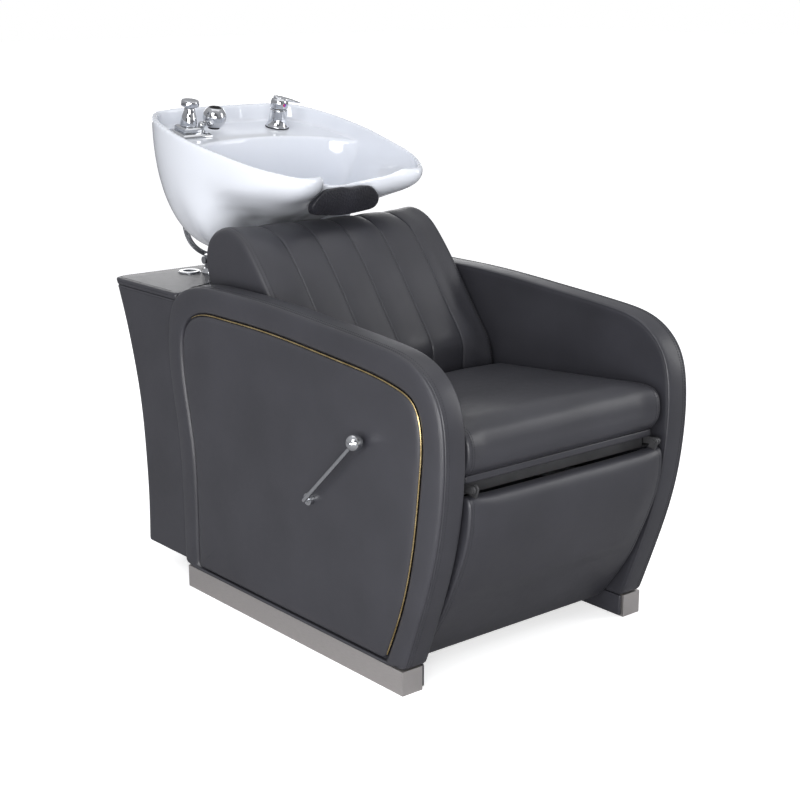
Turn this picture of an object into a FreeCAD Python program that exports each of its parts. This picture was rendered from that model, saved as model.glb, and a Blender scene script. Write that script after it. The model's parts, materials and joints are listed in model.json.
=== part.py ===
import FreeCAD, Part
import math
import os

# Shampoo backwash unit: reclined upholstered chair with a ceramic basin behind it.
# Millimetres. Origin on the floor, centred between the four floor bolt holes.
# X is the width, the sitter faces -Y, +Z is up. The lever is on the -X side.

V = FreeCAD.Vector
X_DIR = V(1, 0, 0)
Y_DIR = V(0, 1, 0)
Z_DIR = V(0, 0, 1)

# --- driving dimensions -------------------------------------------------------
HALF_WIDTH = 335.0            # outer faces of rails and arms
RAIL_SIZE = 50.0
RAIL_WALL = 2.5
RAIL_LENGTH = 757.0
FLOOR_BOLT_R = 4.5
FLOOR_BOLT_SPACING_X = 620.0
FLOOR_BOLT_SPACING_Y = 600.0

ARM_INNER = 276.0             # inner face of each arm
CORE_INNER = 290.0            # plywood side board inside the arm
CORE_THICK = 18.0
PANEL_DEPTH = 12.0            # inset outer side panel
PIPING_WIDTH = 4.0

TUBE = 30.0                   # square tube of the inner frame
RAIL_TUBE_HEIGHT = 25.0
CROSS_TOP = 50.0
FRONT_CROSS_Y = -240.0
MIDDLE_CROSS_Y = 160.0
REAR_CROSS_Y = 330.0
SIDE_RAIL_INNER = 246.0

SEAT_HALF_WIDTH = 266.0
SEAT_FRONT_Y = -485.0
SEAT_REAR_Y = 4.0
SEAT_FRONT_BOTTOM_Z = 447.0   # underside of the cushion at SEAT_SLOPE_Y
SEAT_SLOPE_Y = -463.0
SEAT_SLOPE = 0.081
SEAT_THICK = 92.0
BOARD_THICK = 15.0

BACK_HALF_WIDTH = 267.0

COVER_HALF_WIDTH = 322.0
COVER_TOP = 667.0
COVER_BOTTOM = 55.0
COVER_WALL = 14.0
COVER_CORNER_R = 22.0
COVER_FRONT_Y = 376.0
COVER_SEAM = 1.0

SKIRT_THICK = 8.0             # lining of the arms, carried down beside the rails
SKIRT_FRONT_Y = -374.0
SKIRT_REAR_Y = 370.0
SKIRT_BOTTOM = 4.0

# side lever, torque shaft and leg-rest linkage (a parallelogram)
SHAFT_Y = -97.0
SHAFT_Z = 330.0
SHAFT_R = 8.0
RUN_CLEARANCE = 0.05
LEVER_PLANE_X = -356.0
LEVER_LENGTH = 227.0
LEVER_ANGLE = 136.5           # from +Y towards +Z, at rest
LEVER_ROD_R = 4.5
LEVER_BALL_R = 17.5
HINGE_Y = -480.0
HINGE_Z = 425.0
PIN_R = 4.0
CRANK_LENGTH = 80.0
CRANK_ANGLE = -60.0
OPEN_PIVOT_CLEARANCE = 0.4
PLATE = 4.0                   # steel plate thickness
CRANK_X = 230.0
LINK_X = 237.0
HINGE_ARM_X = 244.0
EAR_X = 251.0

LEG_HALF_WIDTH = 267.0
LEG_THICK = 42.0
LEG_BOARD_DEPTH = 28.0
LEG_BOARD_HALF_WIDTH = 230.0

# basin
RIM_FRONT_Y = 148.5
RIM_FRONT_Z = 929.0
RIM_SLOPE = 0.2027
RIM_ANGLE = math.degrees(math.atan(RIM_SLOPE))
BOWL_CENTRE_Y = 535.0
BOWL_FOOT_Z = 722.0
BOWL_FOOT_R = 80.0
BOWL_WALL = 12.0
BOWL_FLOOR = 16.0
DECK_DEPTH = 38.8
DECK_THICK = 12.0
WELL_Y = 440.0                # centre of the oval well in front of the tap deck
WELL_HALF_WIDTH = 250.0       # runs out into the basin's side walls
WELL_REACH = 126.5           # from its centre back to the deck
NECK_NOTCH_R = 195.0
NECK_NOTCH_BOTTOM_Z = 897.0
NECK_PAD_THICK = 19.0         # in front of the basin's front wall
WASTE_HOLE_R = 26.0
TILT_Y = 578.0
TILT_Z = 700.0
POST_X = 124.0
POST_R = 12.0
POST_TOP = 712.0
MIXER_X = 115.0
MIXER_Y = 634.0
MIXER_PIVOT_Z = 50.0          # above the deck
MIXER_NECK_R = 19.5
MIXER_CAVITY_R = 20.0
MIXER_PIN_R = 1.6
BREAKER_X = -137.0
BREAKER_Y = 626.0
HOLDER_X = -77.0
HOLDER_Y = 620.0
HOLDER_HEIGHT = 39.0
HOLDER_R = 27.5
HOSE_R = 6.5
PORT_X = -155.0
PORT_Y = 618.5


# --- helpers ------------------------------------------------------------------
def export(name, *shapes):
    """Write one node: a single solid, or a group of separate solids."""
    shape = shapes[0] if len(shapes) == 1 else Part.makeCompound(list(shapes))
    shape.exportStep("parts/%s.step" % name)


def box(x0, x1, y0, y1, z0, z1):
    return Part.makeBox(x1 - x0, y1 - y0, z1 - z0, V(x0, y0, z0))


def cylinder_x(x0, x1, y, z, radius):
    return Part.makeCylinder(radius, x1 - x0, V(x0, y, z), X_DIR)


def cylinder_z(x, y, z0, z1, radius):
    return Part.makeCylinder(radius, z1 - z0, V(x, y, z0), Z_DIR)


def mirrored(shape):
    return shape.mirror(V(0, 0, 0), X_DIR)


def both_sides(shape):
    return [shape, mirrored(shape)]


def curve_edge(points):
    curve = Part.BSplineCurve()
    curve.interpolate(points)
    return curve.toShape()


def yz_points(pairs, x=0.0):
    return [V(x, y, z) for y, z in pairs]


def yz_face(edge_lists, x):
    """Face in a plane of constant X, from lists of (y, z): smooth runs joined by lines."""
    edges = []
    runs = [yz_points(run, x) for run in edge_lists]
    for index, run in enumerate(runs):
        if len(run) > 2:
            edges.append(curve_edge(run))
        elif len(run) == 2:
            edges.append(Part.makeLine(run[0], run[1]))
        following = runs[(index + 1) % len(runs)][0]
        if run[-1].distanceToPoint(following) > 0.01:
            edges.append(Part.makeLine(run[-1], following))
    return Part.Face(Part.Wire(edges))


def offset_points(points, distance):
    """Points of a smooth run moved to the left of the direction of travel, seen from +X."""
    curve = Part.BSplineCurve()
    curve.interpolate(yz_points(points))
    moved = []
    for point in yz_points(points):
        along = curve.tangent(curve.parameter(point))[0]
        moved.append((point.y - along.z * distance, point.z + along.y * distance))
    return moved


def inset_outline(points, distance, bottom_rise):
    """A clockwise outline that starts and ends on its flat bottom, drawn in by a distance."""
    moved = offset_points(points, -distance)
    bottom = points[0][1] + bottom_rise
    moved[0] = (moved[0][0], bottom)
    moved[-1] = (moved[-1][0], bottom)
    return moved


def prism(face, length):
    return face.extrude(V(length, 0, 0))


def polygon_prism(pairs, x0, x1):
    points = yz_points(pairs, x0)
    points.append(points[0])
    return Part.Face(Part.makePolygon(points)).extrude(V(x1 - x0, 0, 0))


def extruded(points, direction):
    return Part.Face(Part.makePolygon(points + [points[0]])).extrude(direction)


def square_tube_y(x0, x1, y0, y1, z0, z1, wall):
    outer = box(x0, x1, y0, y1, z0, z1)
    return outer.cut(box(x0 + wall, x1 - wall, y0, y1, z0 + wall, z1 - wall))


def capsule_plate(x0, x1, start, end, radius):
    """Flat bar in a YZ plane with round ends centred on two (y, z) points."""
    ends = [cylinder_x(x0, x1, y, z, radius) for y, z in (start, end)]
    along = V(0, end[0] - start[0], end[1] - start[1])
    side = V(0, -along.z, along.y)
    side.normalize()
    side = side * radius
    first = V(x0, start[0], start[1])
    corners = [first + side, first + along + side, first + along - side, first - side, first + side]
    bar = Part.Face(Part.makePolygon(corners)).extrude(V(x1 - x0, 0, 0))
    return bar.fuse(ends).removeSplitter()


def polar(y, z, length, angle):
    turn = math.radians(angle)
    return (y + length * math.cos(turn), z + length * math.sin(turn))


def rim_z(y):
    return RIM_FRONT_Z + RIM_SLOPE * (y - RIM_FRONT_Y)


def on_deck(shape, x, y):
    """Move a shape built about the origin so that it stands square on the tap deck."""
    placed = shape.copy()
    placed.rotate(V(0, 0, 0), X_DIR, RIM_ANGLE)
    placed.translate(V(x, y, rim_z(y) - DECK_DEPTH))
    return placed


def revolved(profile):
    """Solid turned about Z from (radius, height) points that start and end on the axis."""
    points = [V(r, 0, z) for r, z in profile]
    points.append(points[0])
    return Part.Face(Part.makePolygon(points)).revolve(V(0, 0, 0), Z_DIR, 360)


# --- base ---------------------------------------------------------------------
def make_base():
    half = RAIL_LENGTH / 2
    left = square_tube_y(-HALF_WIDTH, -HALF_WIDTH + RAIL_SIZE, -half, half, 0, RAIL_SIZE, RAIL_WALL)
    for y in (-FLOOR_BOLT_SPACING_Y / 2, FLOOR_BOLT_SPACING_Y / 2):
        left = left.cut(cylinder_z(-FLOOR_BOLT_SPACING_X / 2, y, -1, RAIL_WALL + 1, FLOOR_BOLT_R))
    cap_x = (-HALF_WIDTH + RAIL_WALL, -HALF_WIDTH + RAIL_SIZE - RAIL_WALL)
    caps = []
    for y in (-half, half - RAIL_WALL):
        caps.append(box(cap_x[0], cap_x[1], y, y + RAIL_WALL, RAIL_WALL, RAIL_SIZE - RAIL_WALL))
    export("base_rail_left", left, *caps)
    export("base_rail_right", mirrored(left), *[mirrored(cap) for cap in caps])

    inner = HALF_WIDTH - RAIL_SIZE
    members = []
    for y in (FRONT_CROSS_Y, MIDDLE_CROSS_Y, REAR_CROSS_Y):
        outer = box(-inner, inner, y, y + TUBE, CROSS_TOP - TUBE, CROSS_TOP)
        bore = box(-inner, inner, y + 2, y + TUBE - 2, CROSS_TOP - TUBE + 2, CROSS_TOP - 2)
        members.append(outer.cut(bore))
    export("crossmembers", *members)


# --- inner seat frame ---------------------------------------------------------
def make_bearing_plate():
    """Plate that hangs from a side rail and holds one bush of the torque shaft."""
    outline = [(SHAFT_Y - 28, SHAFT_Z - 20), (SHAFT_Y + 28, SHAFT_Z - 20)]
    for y in (SHAFT_Y + 28, SHAFT_Y - 28):
        outline.append((y, rail_top_z(y) - RAIL_TUBE_HEIGHT))
    plate = polygon_prism(outline, 248, 254)
    return plate.cut(cylinder_x(0, 400, SHAFT_Y, SHAFT_Z, SHAFT_R + 3))


def seat_bottom_z(y):
    return SEAT_FRONT_BOTTOM_Z - SEAT_SLOPE * (y - SEAT_SLOPE_Y)


def rail_top_z(y):
    return seat_bottom_z(y) - BOARD_THICK


def sloped_bar(x0, x1, y0, y1, top_at, height):
    corners = [(y0, top_at(y0) - height), (y1, top_at(y1) - height), (y1, top_at(y1)), (y0, top_at(y0))]
    return polygon_prism(corners, x0, x1)


def make_seat_frame():
    front_y = -445.0
    rear_y = 190.0
    rail = sloped_bar(SIDE_RAIL_INNER, ARM_INNER, front_y, rear_y, rail_top_z, RAIL_TUBE_HEIGHT)
    bore = sloped_bar(SIDE_RAIL_INNER + 2, ARM_INNER - 2, front_y, rear_y,
                      lambda y: rail_top_z(y) - 2, RAIL_TUBE_HEIGHT - 4)
    rail = rail.cut(bore)
    bolts = []
    for y in (-330.0, 120.0):
        z = rail_top_z(y) - RAIL_TUBE_HEIGHT / 2
        head = cylinder_x(SIDE_RAIL_INNER - 5, SIDE_RAIL_INNER, y, z, 6.5)
        bolts.append(head.fuse(cylinder_x(SIDE_RAIL_INNER, CORE_INNER + 14, y, z, 4)).removeSplitter())
    for bolt in bolts:
        rail = rail.cut(bolt)
    plate = make_bearing_plate()
    legs = []
    for y in (FRONT_CROSS_Y, MIDDLE_CROSS_Y):
        leg = polygon_prism([(y, CROSS_TOP), (y + TUBE, CROSS_TOP),
                             (y + TUBE, rail_top_z(y + TUBE) - RAIL_TUBE_HEIGHT),
                             (y, rail_top_z(y) - RAIL_TUBE_HEIGHT)], SIDE_RAIL_INNER, ARM_INNER)
        hollow = box(SIDE_RAIL_INNER + 2, ARM_INNER - 2, y + 2, y + TUBE - 2, 0, 500)
        legs.extend(both_sides(leg.cut(hollow)))
    export("seat_frame_legs", *legs)

    front = sloped_bar(-SIDE_RAIL_INNER, SIDE_RAIL_INNER, front_y, front_y + 25, rail_top_z, RAIL_TUBE_HEIGHT)
    rear = sloped_bar(-SIDE_RAIL_INNER, SIDE_RAIL_INNER, rear_y - TUBE, rear_y, rail_top_z, RAIL_TUBE_HEIGHT)
    export("seat_frame", *(both_sides(rail) + [front, rear] + both_sides(plate)))
    return bolts


# --- arms ---------------------------------------------------------------------
ARM_OUTLINE = [(-380, 50), (-426, 174), (-467, 305), (-486, 425), (-487, 530), (-466, 606), (-406, 657),
               (-310, 677), (-129, 690), (72, 701), (230, 702), (340, 692), (405, 657), (431, 590),
               (430, 490), (407, 365), (396, 240), (394, 140), (394, 50)]
INSET_OUTLINE = [(-324, 54), (-371, 166), (-408, 310), (-426, 450), (-427, 545), (-408, 588), (-360, 609),
                 (-191, 629), (73, 645), (230, 646), (320, 636), (364, 606), (379, 550), (366, 438),
                 (345, 330), (339, 200), (340, 54)]


def inset_face(x, inset):
    outline = inset_outline(INSET_OUTLINE, inset, inset) if inset else INSET_OUTLINE
    return yz_face([outline], x)


def make_arm(bolts):
    arm = prism(yz_face([ARM_OUTLINE], ARM_INNER), HALF_WIDTH - ARM_INNER)
    pocket = prism(inset_face(HALF_WIDTH - PANEL_DEPTH, 0), PANEL_DEPTH)
    arm = arm.cut(pocket)
    core = prism(yz_face([inset_outline(ARM_OUTLINE, 13, 0)], CORE_INNER), CORE_THICK)
    for bolt in bolts:
        arm = arm.cut(bolt)
        core = core.cut(bolt)
    arm = arm.cut(core)
    panel = prism(inset_face(HALF_WIDTH - PANEL_DEPTH, PIPING_WIDTH), PANEL_DEPTH)
    bead_x = HALF_WIDTH - PIPING_WIDTH
    bead = prism(inset_face(bead_x, 0), PIPING_WIDTH)
    bead = bead.cut(prism(inset_face(bead_x - 1, PIPING_WIDTH), PIPING_WIDTH + 2))
    bead = bead.cut(box(0, 400, 322, 500, 0, 800)).cut(box(0, 400, -500, 500, 0, 60))
    bead = bead.cut(box(0, 400, -300, 500, 0, 400))
    return arm, core, panel, bead


def make_arms(bolts):
    arm, core, panel, bead = make_arm(bolts)
    export("arm_right", arm)
    export("arm_core_right", core)
    export("side_panel_right", panel)
    export("piping_right", bead)
    export("piping_left", mirrored(bead))
    export("arm_bolts", *(both_sides(bolts[0]) + both_sides(bolts[1])))
    hole = cylinder_x(-400, -200, SHAFT_Y, SHAFT_Z, SHAFT_R + 3)
    export("arm_left", mirrored(arm).cut(hole))
    export("arm_core_left", mirrored(core).cut(hole))
    export("side_panel_left", mirrored(panel).cut(hole))


def make_arm_skirts():
    """Wrapped boards that carry the lining of the arms down beside the rails."""
    outer_x = ARM_INNER + SKIRT_THICK
    skirt = box(ARM_INNER, outer_x, SKIRT_FRONT_Y, SKIRT_REAR_Y, SKIRT_BOTTOM, RAIL_SIZE - 0.3)
    for y in (FRONT_CROSS_Y, MIDDLE_CROSS_Y, REAR_CROSS_Y):
        skirt = skirt.cut(box(0, 400, y - 1, y + TUBE + 1, CROSS_TOP - TUBE - 1, CROSS_TOP))
    export("arm_skirts", *both_sides(skirt))


# --- seat and back cushions ---------------------------------------------------
def make_seat():
    half = SEAT_HALF_WIDTH - 12
    board = sloped_bar(-half, half, SEAT_SLOPE_Y, 150.0, seat_bottom_z, BOARD_THICK)
    export("seat_board", board)
    bottom_front = (SEAT_SLOPE_Y, seat_bottom_z(SEAT_SLOPE_Y) + 0.3)
    bottom_rear = (SEAT_REAR_Y, seat_bottom_z(SEAT_REAR_Y) + 0.3)
    top_rear = (SEAT_REAR_Y, seat_bottom_z(SEAT_REAR_Y) + SEAT_THICK)
    top_front = (SEAT_FRONT_Y + 42, seat_bottom_z(SEAT_FRONT_Y + 42) + SEAT_THICK)
    nose = [top_front, (SEAT_FRONT_Y + 12, 532), (SEAT_FRONT_Y, 505), (SEAT_FRONT_Y + 4, 468), bottom_front]
    face = yz_face([nose, [bottom_rear, top_rear]], -SEAT_HALF_WIDTH)
    export("seat_cushion", prism(face, 2 * SEAT_HALF_WIDTH))


BACK_FRONT = [(9, 472), (22, 545), (56, 595), (143, 710), (195, 771), (241, 809), (290, 825)]
BACK_REAR = [(290, 825), (335, 815), (371, 787), (383, 748), (370, 692)]
BACK_BOARD_LINE = ((150, 470), (360, 668))


def make_backrest():
    lower, upper = BACK_BOARD_LINE
    face = yz_face([BACK_FRONT, BACK_REAR, [upper, lower]], -BACK_HALF_WIDTH)
    export("backrest_cushion", prism(face, 2 * BACK_HALF_WIDTH))
    slope = math.atan2(upper[1] - lower[1], upper[0] - lower[0])
    normal = (math.sin(slope), -math.cos(slope))

    def behind(point, depth):
        return (point[0] + normal[0] * depth, point[1] + normal[1] * depth)

    board_top = (lower[0] + 0.97 * (upper[0] - lower[0]), lower[1] + 0.97 * (upper[1] - lower[1]))
    board = [lower, board_top, behind(board_top, BOARD_THICK), behind(lower, BOARD_THICK)]
    half = BACK_HALF_WIDTH - 12
    export("back_board", polygon_prism(board, -half, half))

    seat_level = rail_top_z(180.0)
    strut_depth = BOARD_THICK + 20
    front_line = [behind(lower, BOARD_THICK), behind(board_top, BOARD_THICK)]
    rear_line = [behind(board_top, strut_depth), behind(lower, strut_depth)]
    tail = [(188, seat_level - 1.5), (162, seat_level + 0.6)]
    strut = polygon_prism(front_line + rear_line + tail, 180, 210)
    strut = strut.cut(sloped_bar(-300, 300, 100, 230, rail_top_z, 60))
    export("back_struts", *both_sides(strut))


# --- rear plumbing cover ------------------------------------------------------
COVER_BACK = [(686.5, COVER_TOP), (655, 590), (621, 488), (598, 393), (584, 270), (579, 160),
              (582, COVER_BOTTOM)]


def cover_solid(inset):
    top = COVER_TOP - inset
    bottom = COVER_BOTTOM - (10 if inset else 0)
    back = [(y - inset, z) for y, z in COVER_BACK]
    half = COVER_HALF_WIDTH - inset
    face = yz_face([back, [(COVER_FRONT_Y, COVER_BOTTOM), (COVER_FRONT_Y, COVER_TOP)]], -half)
    solid = prism(face, 2 * half)
    edges = [e for e in solid.Edges if e.BoundBox.ZLength > 400 and e.BoundBox.YMin > 500]
    solid = solid.makeFillet(COVER_CORNER_R - inset, edges)
    if inset:
        solid = solid.common(box(-400, 400, 0, 800, bottom, top))
        floor = box(-half + 10, half - 10, COVER_FRONT_Y, 560, COVER_BOTTOM - 20, COVER_BOTTOM + 20)
        solid = solid.fuse(floor)
    return solid


def make_cover():
    shell = cover_solid(0).cut(cover_solid(COVER_WALL))
    shell = shell.cut(box(-COVER_HALF_WIDTH + COVER_WALL, COVER_HALF_WIDTH - COVER_WALL,
                          COVER_FRONT_Y - 5, 540, COVER_BOTTOM - 5, COVER_TOP - COVER_WALL))
    arm_space = prism(yz_face([inset_outline(ARM_OUTLINE, -2, -2)], ARM_INNER - 2), 80)
    front_space = box(ARM_INNER - 2, 400, 300, 394, 0, COVER_TOP + 10)
    for space in (arm_space, front_space):
        shell = shell.cut(space).cut(mirrored(space))

    lid_bottom = COVER_TOP - COVER_WALL
    lid = shell.common(box(-400, 400, 0, 800, lid_bottom, 800))
    lid = lid.cut(cylinder_z(PORT_X, PORT_Y, 600, 700, 21))
    for x in (-POST_X, POST_X):
        lid = lid.cut(cylinder_z(x, TILT_Y, 600, 700, POST_R + 1))
    lid = lid.cut(box(-40, 40, 480, 592, 600, 700))
    export("rear_cover_top", lid)

    below = shell.common(box(-400, 400, 0, 800, 0, lid_bottom - COVER_SEAM))
    panel_half = COVER_HALF_WIDTH - COVER_CORNER_R
    export("rear_access_panel", below.common(box(-panel_half, panel_half, 530, 800, 0, 700)))
    side = below.common(box(panel_half + COVER_SEAM, 400, 0, 800, 0, 700))
    export("rear_cover_right", side)
    export("rear_cover_left", mirrored(side))

    bracket = square_tube_y(POST_X - TUBE / 2, POST_X + TUBE / 2, REAR_CROSS_Y, 560.0, CROSS_TOP,
                            CROSS_TOP + TUBE, 2.0)
    pad = box(POST_X - TUBE / 2, POST_X + TUBE / 2, 560.0, 600.0, CROSS_TOP, CROSS_TOP + TUBE)
    pad = pad.cut(box(0, 400, 565.0, 700, 0, 200))
    export("cover_brackets", *both_sides(bracket.fuse(pad).removeSplitter()))


def make_posts():
    """Two steel posts that carry the basin hinge, cranked back clear of the cover's rear panel."""
    lower_y = 545.0
    column = cylinder_z(POST_X, lower_y, CROSS_TOP + TUBE, 560, POST_R)
    path = V(0, TILT_Y - lower_y, 70)
    crank = Part.makeCylinder(POST_R, path.Length, V(POST_X, lower_y, 560), path)
    knees = [Part.makeSphere(POST_R, V(POST_X, y, z)) for y, z in ((lower_y, 560), (TILT_Y, 630))]
    head = cylinder_z(POST_X, TILT_Y, 630, POST_TOP, POST_R)
    post = column.fuse([crank, head] + knees)
    post = post.cut(cylinder_x(0, 200, TILT_Y, TILT_Z, 5.0))
    export("bowl_posts", *both_sides(post.removeSplitter()))
    collar = revolved([(POST_R, 0), (19, 0), (19, 3), (POST_R + 2.5, 13), (POST_R, 13)])
    collar.translate(V(POST_X, TILT_Y, COVER_TOP))
    export("post_collars", *both_sides(collar))
    ring = revolved([(15.5, -16), (20.5, -16), (20.5, 0), (26.5, 0), (26.5, 2), (24, 4.5), (18, 4.5),
                     (15.5, 2)])
    ring.translate(V(PORT_X, PORT_Y, COVER_TOP))
    export("hose_port_ring", ring)


# --- leg rest, lever and linkage ----------------------------------------------
LEG_FRONT = [(-489, 414), (-486, 341), (-474, 295), (-450, 234), (-412, 157), (-358, 78), (-320, 30)]


def make_legrest():
    back = offset_points(LEG_FRONT, LEG_THICK)
    board_front = offset_points(LEG_FRONT, LEG_BOARD_DEPTH)
    panel = prism(yz_face([LEG_FRONT, back[::-1]], -LEG_HALF_WIDTH), 2 * LEG_HALF_WIDTH)
    board = prism(yz_face([board_front, back[::-1]], -LEG_BOARD_HALF_WIDTH), 2 * LEG_BOARD_HALF_WIDTH)
    board = board.cut(box(-400, 400, -600, 0, 395, 500)).cut(box(-400, 400, -600, 0, 0, 70))

    link_end = polar(HINGE_Y, HINGE_Z, CRANK_LENGTH, CRANK_ANGLE)
    bend = (-459.0, 372.0)
    arm = capsule_plate(HINGE_ARM_X, HINGE_ARM_X + PLATE, (HINGE_Y, HINGE_Z), bend, 9.0)
    arm = arm.fuse(capsule_plate(HINGE_ARM_X, HINGE_ARM_X + PLATE, bend, link_end, 9.0))
    arm = arm.fuse(capsule_plate(HINGE_ARM_X, HINGE_ARM_X + PLATE, bend, (-455.0, 300.0), 9.0))
    arm = arm.removeSplitter()
    pocket = box(HINGE_ARM_X - 1, HINGE_ARM_X + PLATE + 1, -469, 0, 291, 420)
    panel = panel.cut(arm).cut(mirrored(arm))
    slot = box(LINK_X - 5, HINGE_ARM_X, -455, 0, 320, 395)
    for space in (pocket, slot):
        panel = panel.cut(space).cut(mirrored(space))
    panel = panel.cut(board)
    arm = arm.cut(cylinder_x(0, 300, HINGE_Y, HINGE_Z, PIN_R + RUN_CLEARANCE))
    arm = arm.cut(cylinder_x(0, 300, link_end[0], link_end[1], PIN_R))
    export("legrest_panel", panel)
    export("legrest_board", board)
    pin = cylinder_x(LINK_X - 2, HINGE_ARM_X + PLATE, link_end[0], link_end[1], PIN_R)
    pin = pin.fuse(cylinder_x(LINK_X - 4, LINK_X - 1, link_end[0], link_end[1], PIN_R + 2)).removeSplitter()
    export("legrest_hinge_arms", *(both_sides(arm) + both_sides(pin)))

    ear = capsule_plate(EAR_X, EAR_X + PLATE, (HINGE_Y, HINGE_Z), (-440, 421), 7.5)
    ear = ear.cut(sloped_bar(200, 300, -445, 0, rail_top_z, RAIL_TUBE_HEIGHT))
    ear = ear.cut(cylinder_x(0, 300, HINGE_Y, HINGE_Z, PIN_R))
    hinge_pin = cylinder_x(HINGE_ARM_X - 3, EAR_X + PLATE + 3, HINGE_Y, HINGE_Z, PIN_R)
    hinge_pin = hinge_pin.fuse(cylinder_x(EAR_X + PLATE, EAR_X + PLATE + 3, HINGE_Y, HINGE_Z, PIN_R + 2))
    export("legrest_hinge_ears", *(both_sides(ear) + both_sides(hinge_pin.removeSplitter())))
    return link_end


def make_lever(link_end):
    crank_end = polar(SHAFT_Y, SHAFT_Z, CRANK_LENGTH, CRANK_ANGLE)
    shaft = cylinder_x(LEVER_PLANE_X + 8, 262, SHAFT_Y, SHAFT_Z, SHAFT_R)
    export("lever_shaft", shaft)

    crank = capsule_plate(CRANK_X, CRANK_X + PLATE, (SHAFT_Y, SHAFT_Z), crank_end, 9.0)
    crank = crank.fuse(cylinder_x(CRANK_X, CRANK_X + PLATE, SHAFT_Y, SHAFT_Z, 15))
    crank = crank.cut(cylinder_x(0, 300, SHAFT_Y, SHAFT_Z, SHAFT_R))
    crank = crank.cut(cylinder_x(0, 300, crank_end[0], crank_end[1], PIN_R)).removeSplitter()
    pin = cylinder_x(CRANK_X, LINK_X + PLATE + 1, crank_end[0], crank_end[1], PIN_R)
    pin = pin.fuse(cylinder_x(LINK_X + PLATE + 1, LINK_X + PLATE + 3, crank_end[0], crank_end[1], PIN_R + 2))
    export("crank_arms", *(both_sides(crank) + both_sides(pin.removeSplitter())))

    link = capsule_plate(LINK_X, LINK_X + PLATE, crank_end, link_end, 9.0)
    link = link.cut(cylinder_x(0, 300, crank_end[0], crank_end[1], PIN_R + RUN_CLEARANCE))
    link = link.cut(cylinder_x(0, 300, link_end[0], link_end[1], PIN_R + OPEN_PIVOT_CLEARANCE))
    export("push_links", *both_sides(link))

    elbow = V(LEVER_PLANE_X, SHAFT_Y, SHAFT_Z)
    turn = math.radians(LEVER_ANGLE)
    along = V(0, math.cos(turn), math.sin(turn))
    ball_centre = elbow + along * LEVER_LENGTH
    rod = Part.makeCylinder(LEVER_ROD_R, LEVER_LENGTH - LEVER_BALL_R + 4, elbow, along)
    stub = Part.makeCylinder(LEVER_ROD_R, 8, elbow, X_DIR)
    ball = Part.makeSphere(LEVER_BALL_R, ball_centre).cut(rod)
    rod = rod.fuse([Part.makeSphere(LEVER_ROD_R, elbow), stub]).cut(shaft).removeSplitter()
    export("lever_rod", rod)
    export("lever_ball", ball)
    collar = cylinder_x(LEVER_PLANE_X + 8, -338.8, SHAFT_Y, SHAFT_Z, 12.5).cut(shaft)
    screw = cylinder_z(-343.5, SHAFT_Y, SHAFT_Z + SHAFT_R + 0.7, SHAFT_Z + 15.5, 3.1)
    export("lever_collar", collar.cut(screw), screw)

    washer = cylinder_x(-HALF_WIDTH - 3, -HALF_WIDTH, SHAFT_Y, SHAFT_Z, 16)
    export("lever_escutcheon", washer.cut(cylinder_x(-400, 0, SHAFT_Y, SHAFT_Z, SHAFT_R + 0.6)))
    bore = cylinder_x(-400, 400, SHAFT_Y, SHAFT_Z, SHAFT_R + RUN_CLEARANCE)
    bushes = both_sides(cylinder_x(247, 256, SHAFT_Y, SHAFT_Z, SHAFT_R + 3).cut(bore))
    bushes.append(cylinder_x(-CORE_INNER - CORE_THICK, -CORE_INNER, SHAFT_Y, SHAFT_Z, SHAFT_R + 3).cut(bore))
    export("shaft_bushes", *bushes)


# --- basin --------------------------------------------------------------------
# Half of the rim in plan, from the centre of the neck bay round to the centre of the back,
# and the same points lower down, where the two front wings have drawn back into the body.
RIM_PLAN = [(0, 222), (55, 214), (90, 176), (124, 152), (152, 150), (184, 178), (210, 222), (229, 280),
            (243, 360), (253, 445), (252, 525), (243, 590), (225, 645), (193, 686), (116, 704), (0, 708)]
BODY_PLAN = [(0, 226), (55, 227), (95, 231), (128, 240), (158, 256), (185, 279), (207, 308), (224, 345),
             (239, 395), (250, 450), (252, 525), (243, 590), (225, 645), (193, 686), (116, 704), (0, 708)]
WING_DROP = (0.1, 0.42)
LIP_DROP = 0.55
LIP_SHARPNESS = 5


def smooth_step(value, low, high):
    t = min(1.0, max(0.0, (value - low) / (high - low)))
    return t * t * (3 - 2 * t)


def lip_spread(drop):
    """Reach of the front wall: upright at the lip, then swept back over the backrest."""
    def wall_curve(value):
        return 1 / (1 + (value / LIP_DROP) ** LIP_SHARPNESS)
    return (wall_curve(drop) - wall_curve(1)) / (1 - wall_curve(1))


def bowl_section(drop, wall, foot_r, foot_z):
    """Closed curve on the bowl at a fraction of its depth: 0 is the rim, 1 is the foot."""
    points = []
    drawn_back = smooth_step(drop, *WING_DROP)
    half = [(x, y, x + (body_x - x) * drawn_back, y + (body_y - y) * drawn_back)
            for (x, y), (body_x, body_y) in zip(RIM_PLAN, BODY_PLAN)]
    both = half + [(-rim_x, rim_y, -x, y) for rim_x, rim_y, x, y in half[-2:0:-1]]
    for rim_x, rim_y, x, y in both:
        reach = math.hypot(x, y - BOWL_CENTRE_Y)
        side = (1 - drop ** 2.3) ** (1 / 2.3)
        sideways = smooth_step(rim_y, 215, 430)
        spread = side * sideways + lip_spread(drop) * (1 - sideways)
        radius = foot_r + (reach - wall - foot_r) * spread
        top = rim_z(BOWL_CENTRE_Y + (rim_y - BOWL_CENTRE_Y) * (reach - wall) / reach)
        z = top * (1 - drop) + foot_z * drop
        points.append(V(x * radius / reach, BOWL_CENTRE_Y + (y - BOWL_CENTRE_Y) * radius / reach, z))
    curve = Part.BSplineCurve()
    curve.interpolate(points, PeriodicFlag=True)
    return Part.Wire(curve.toShape())


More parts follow.
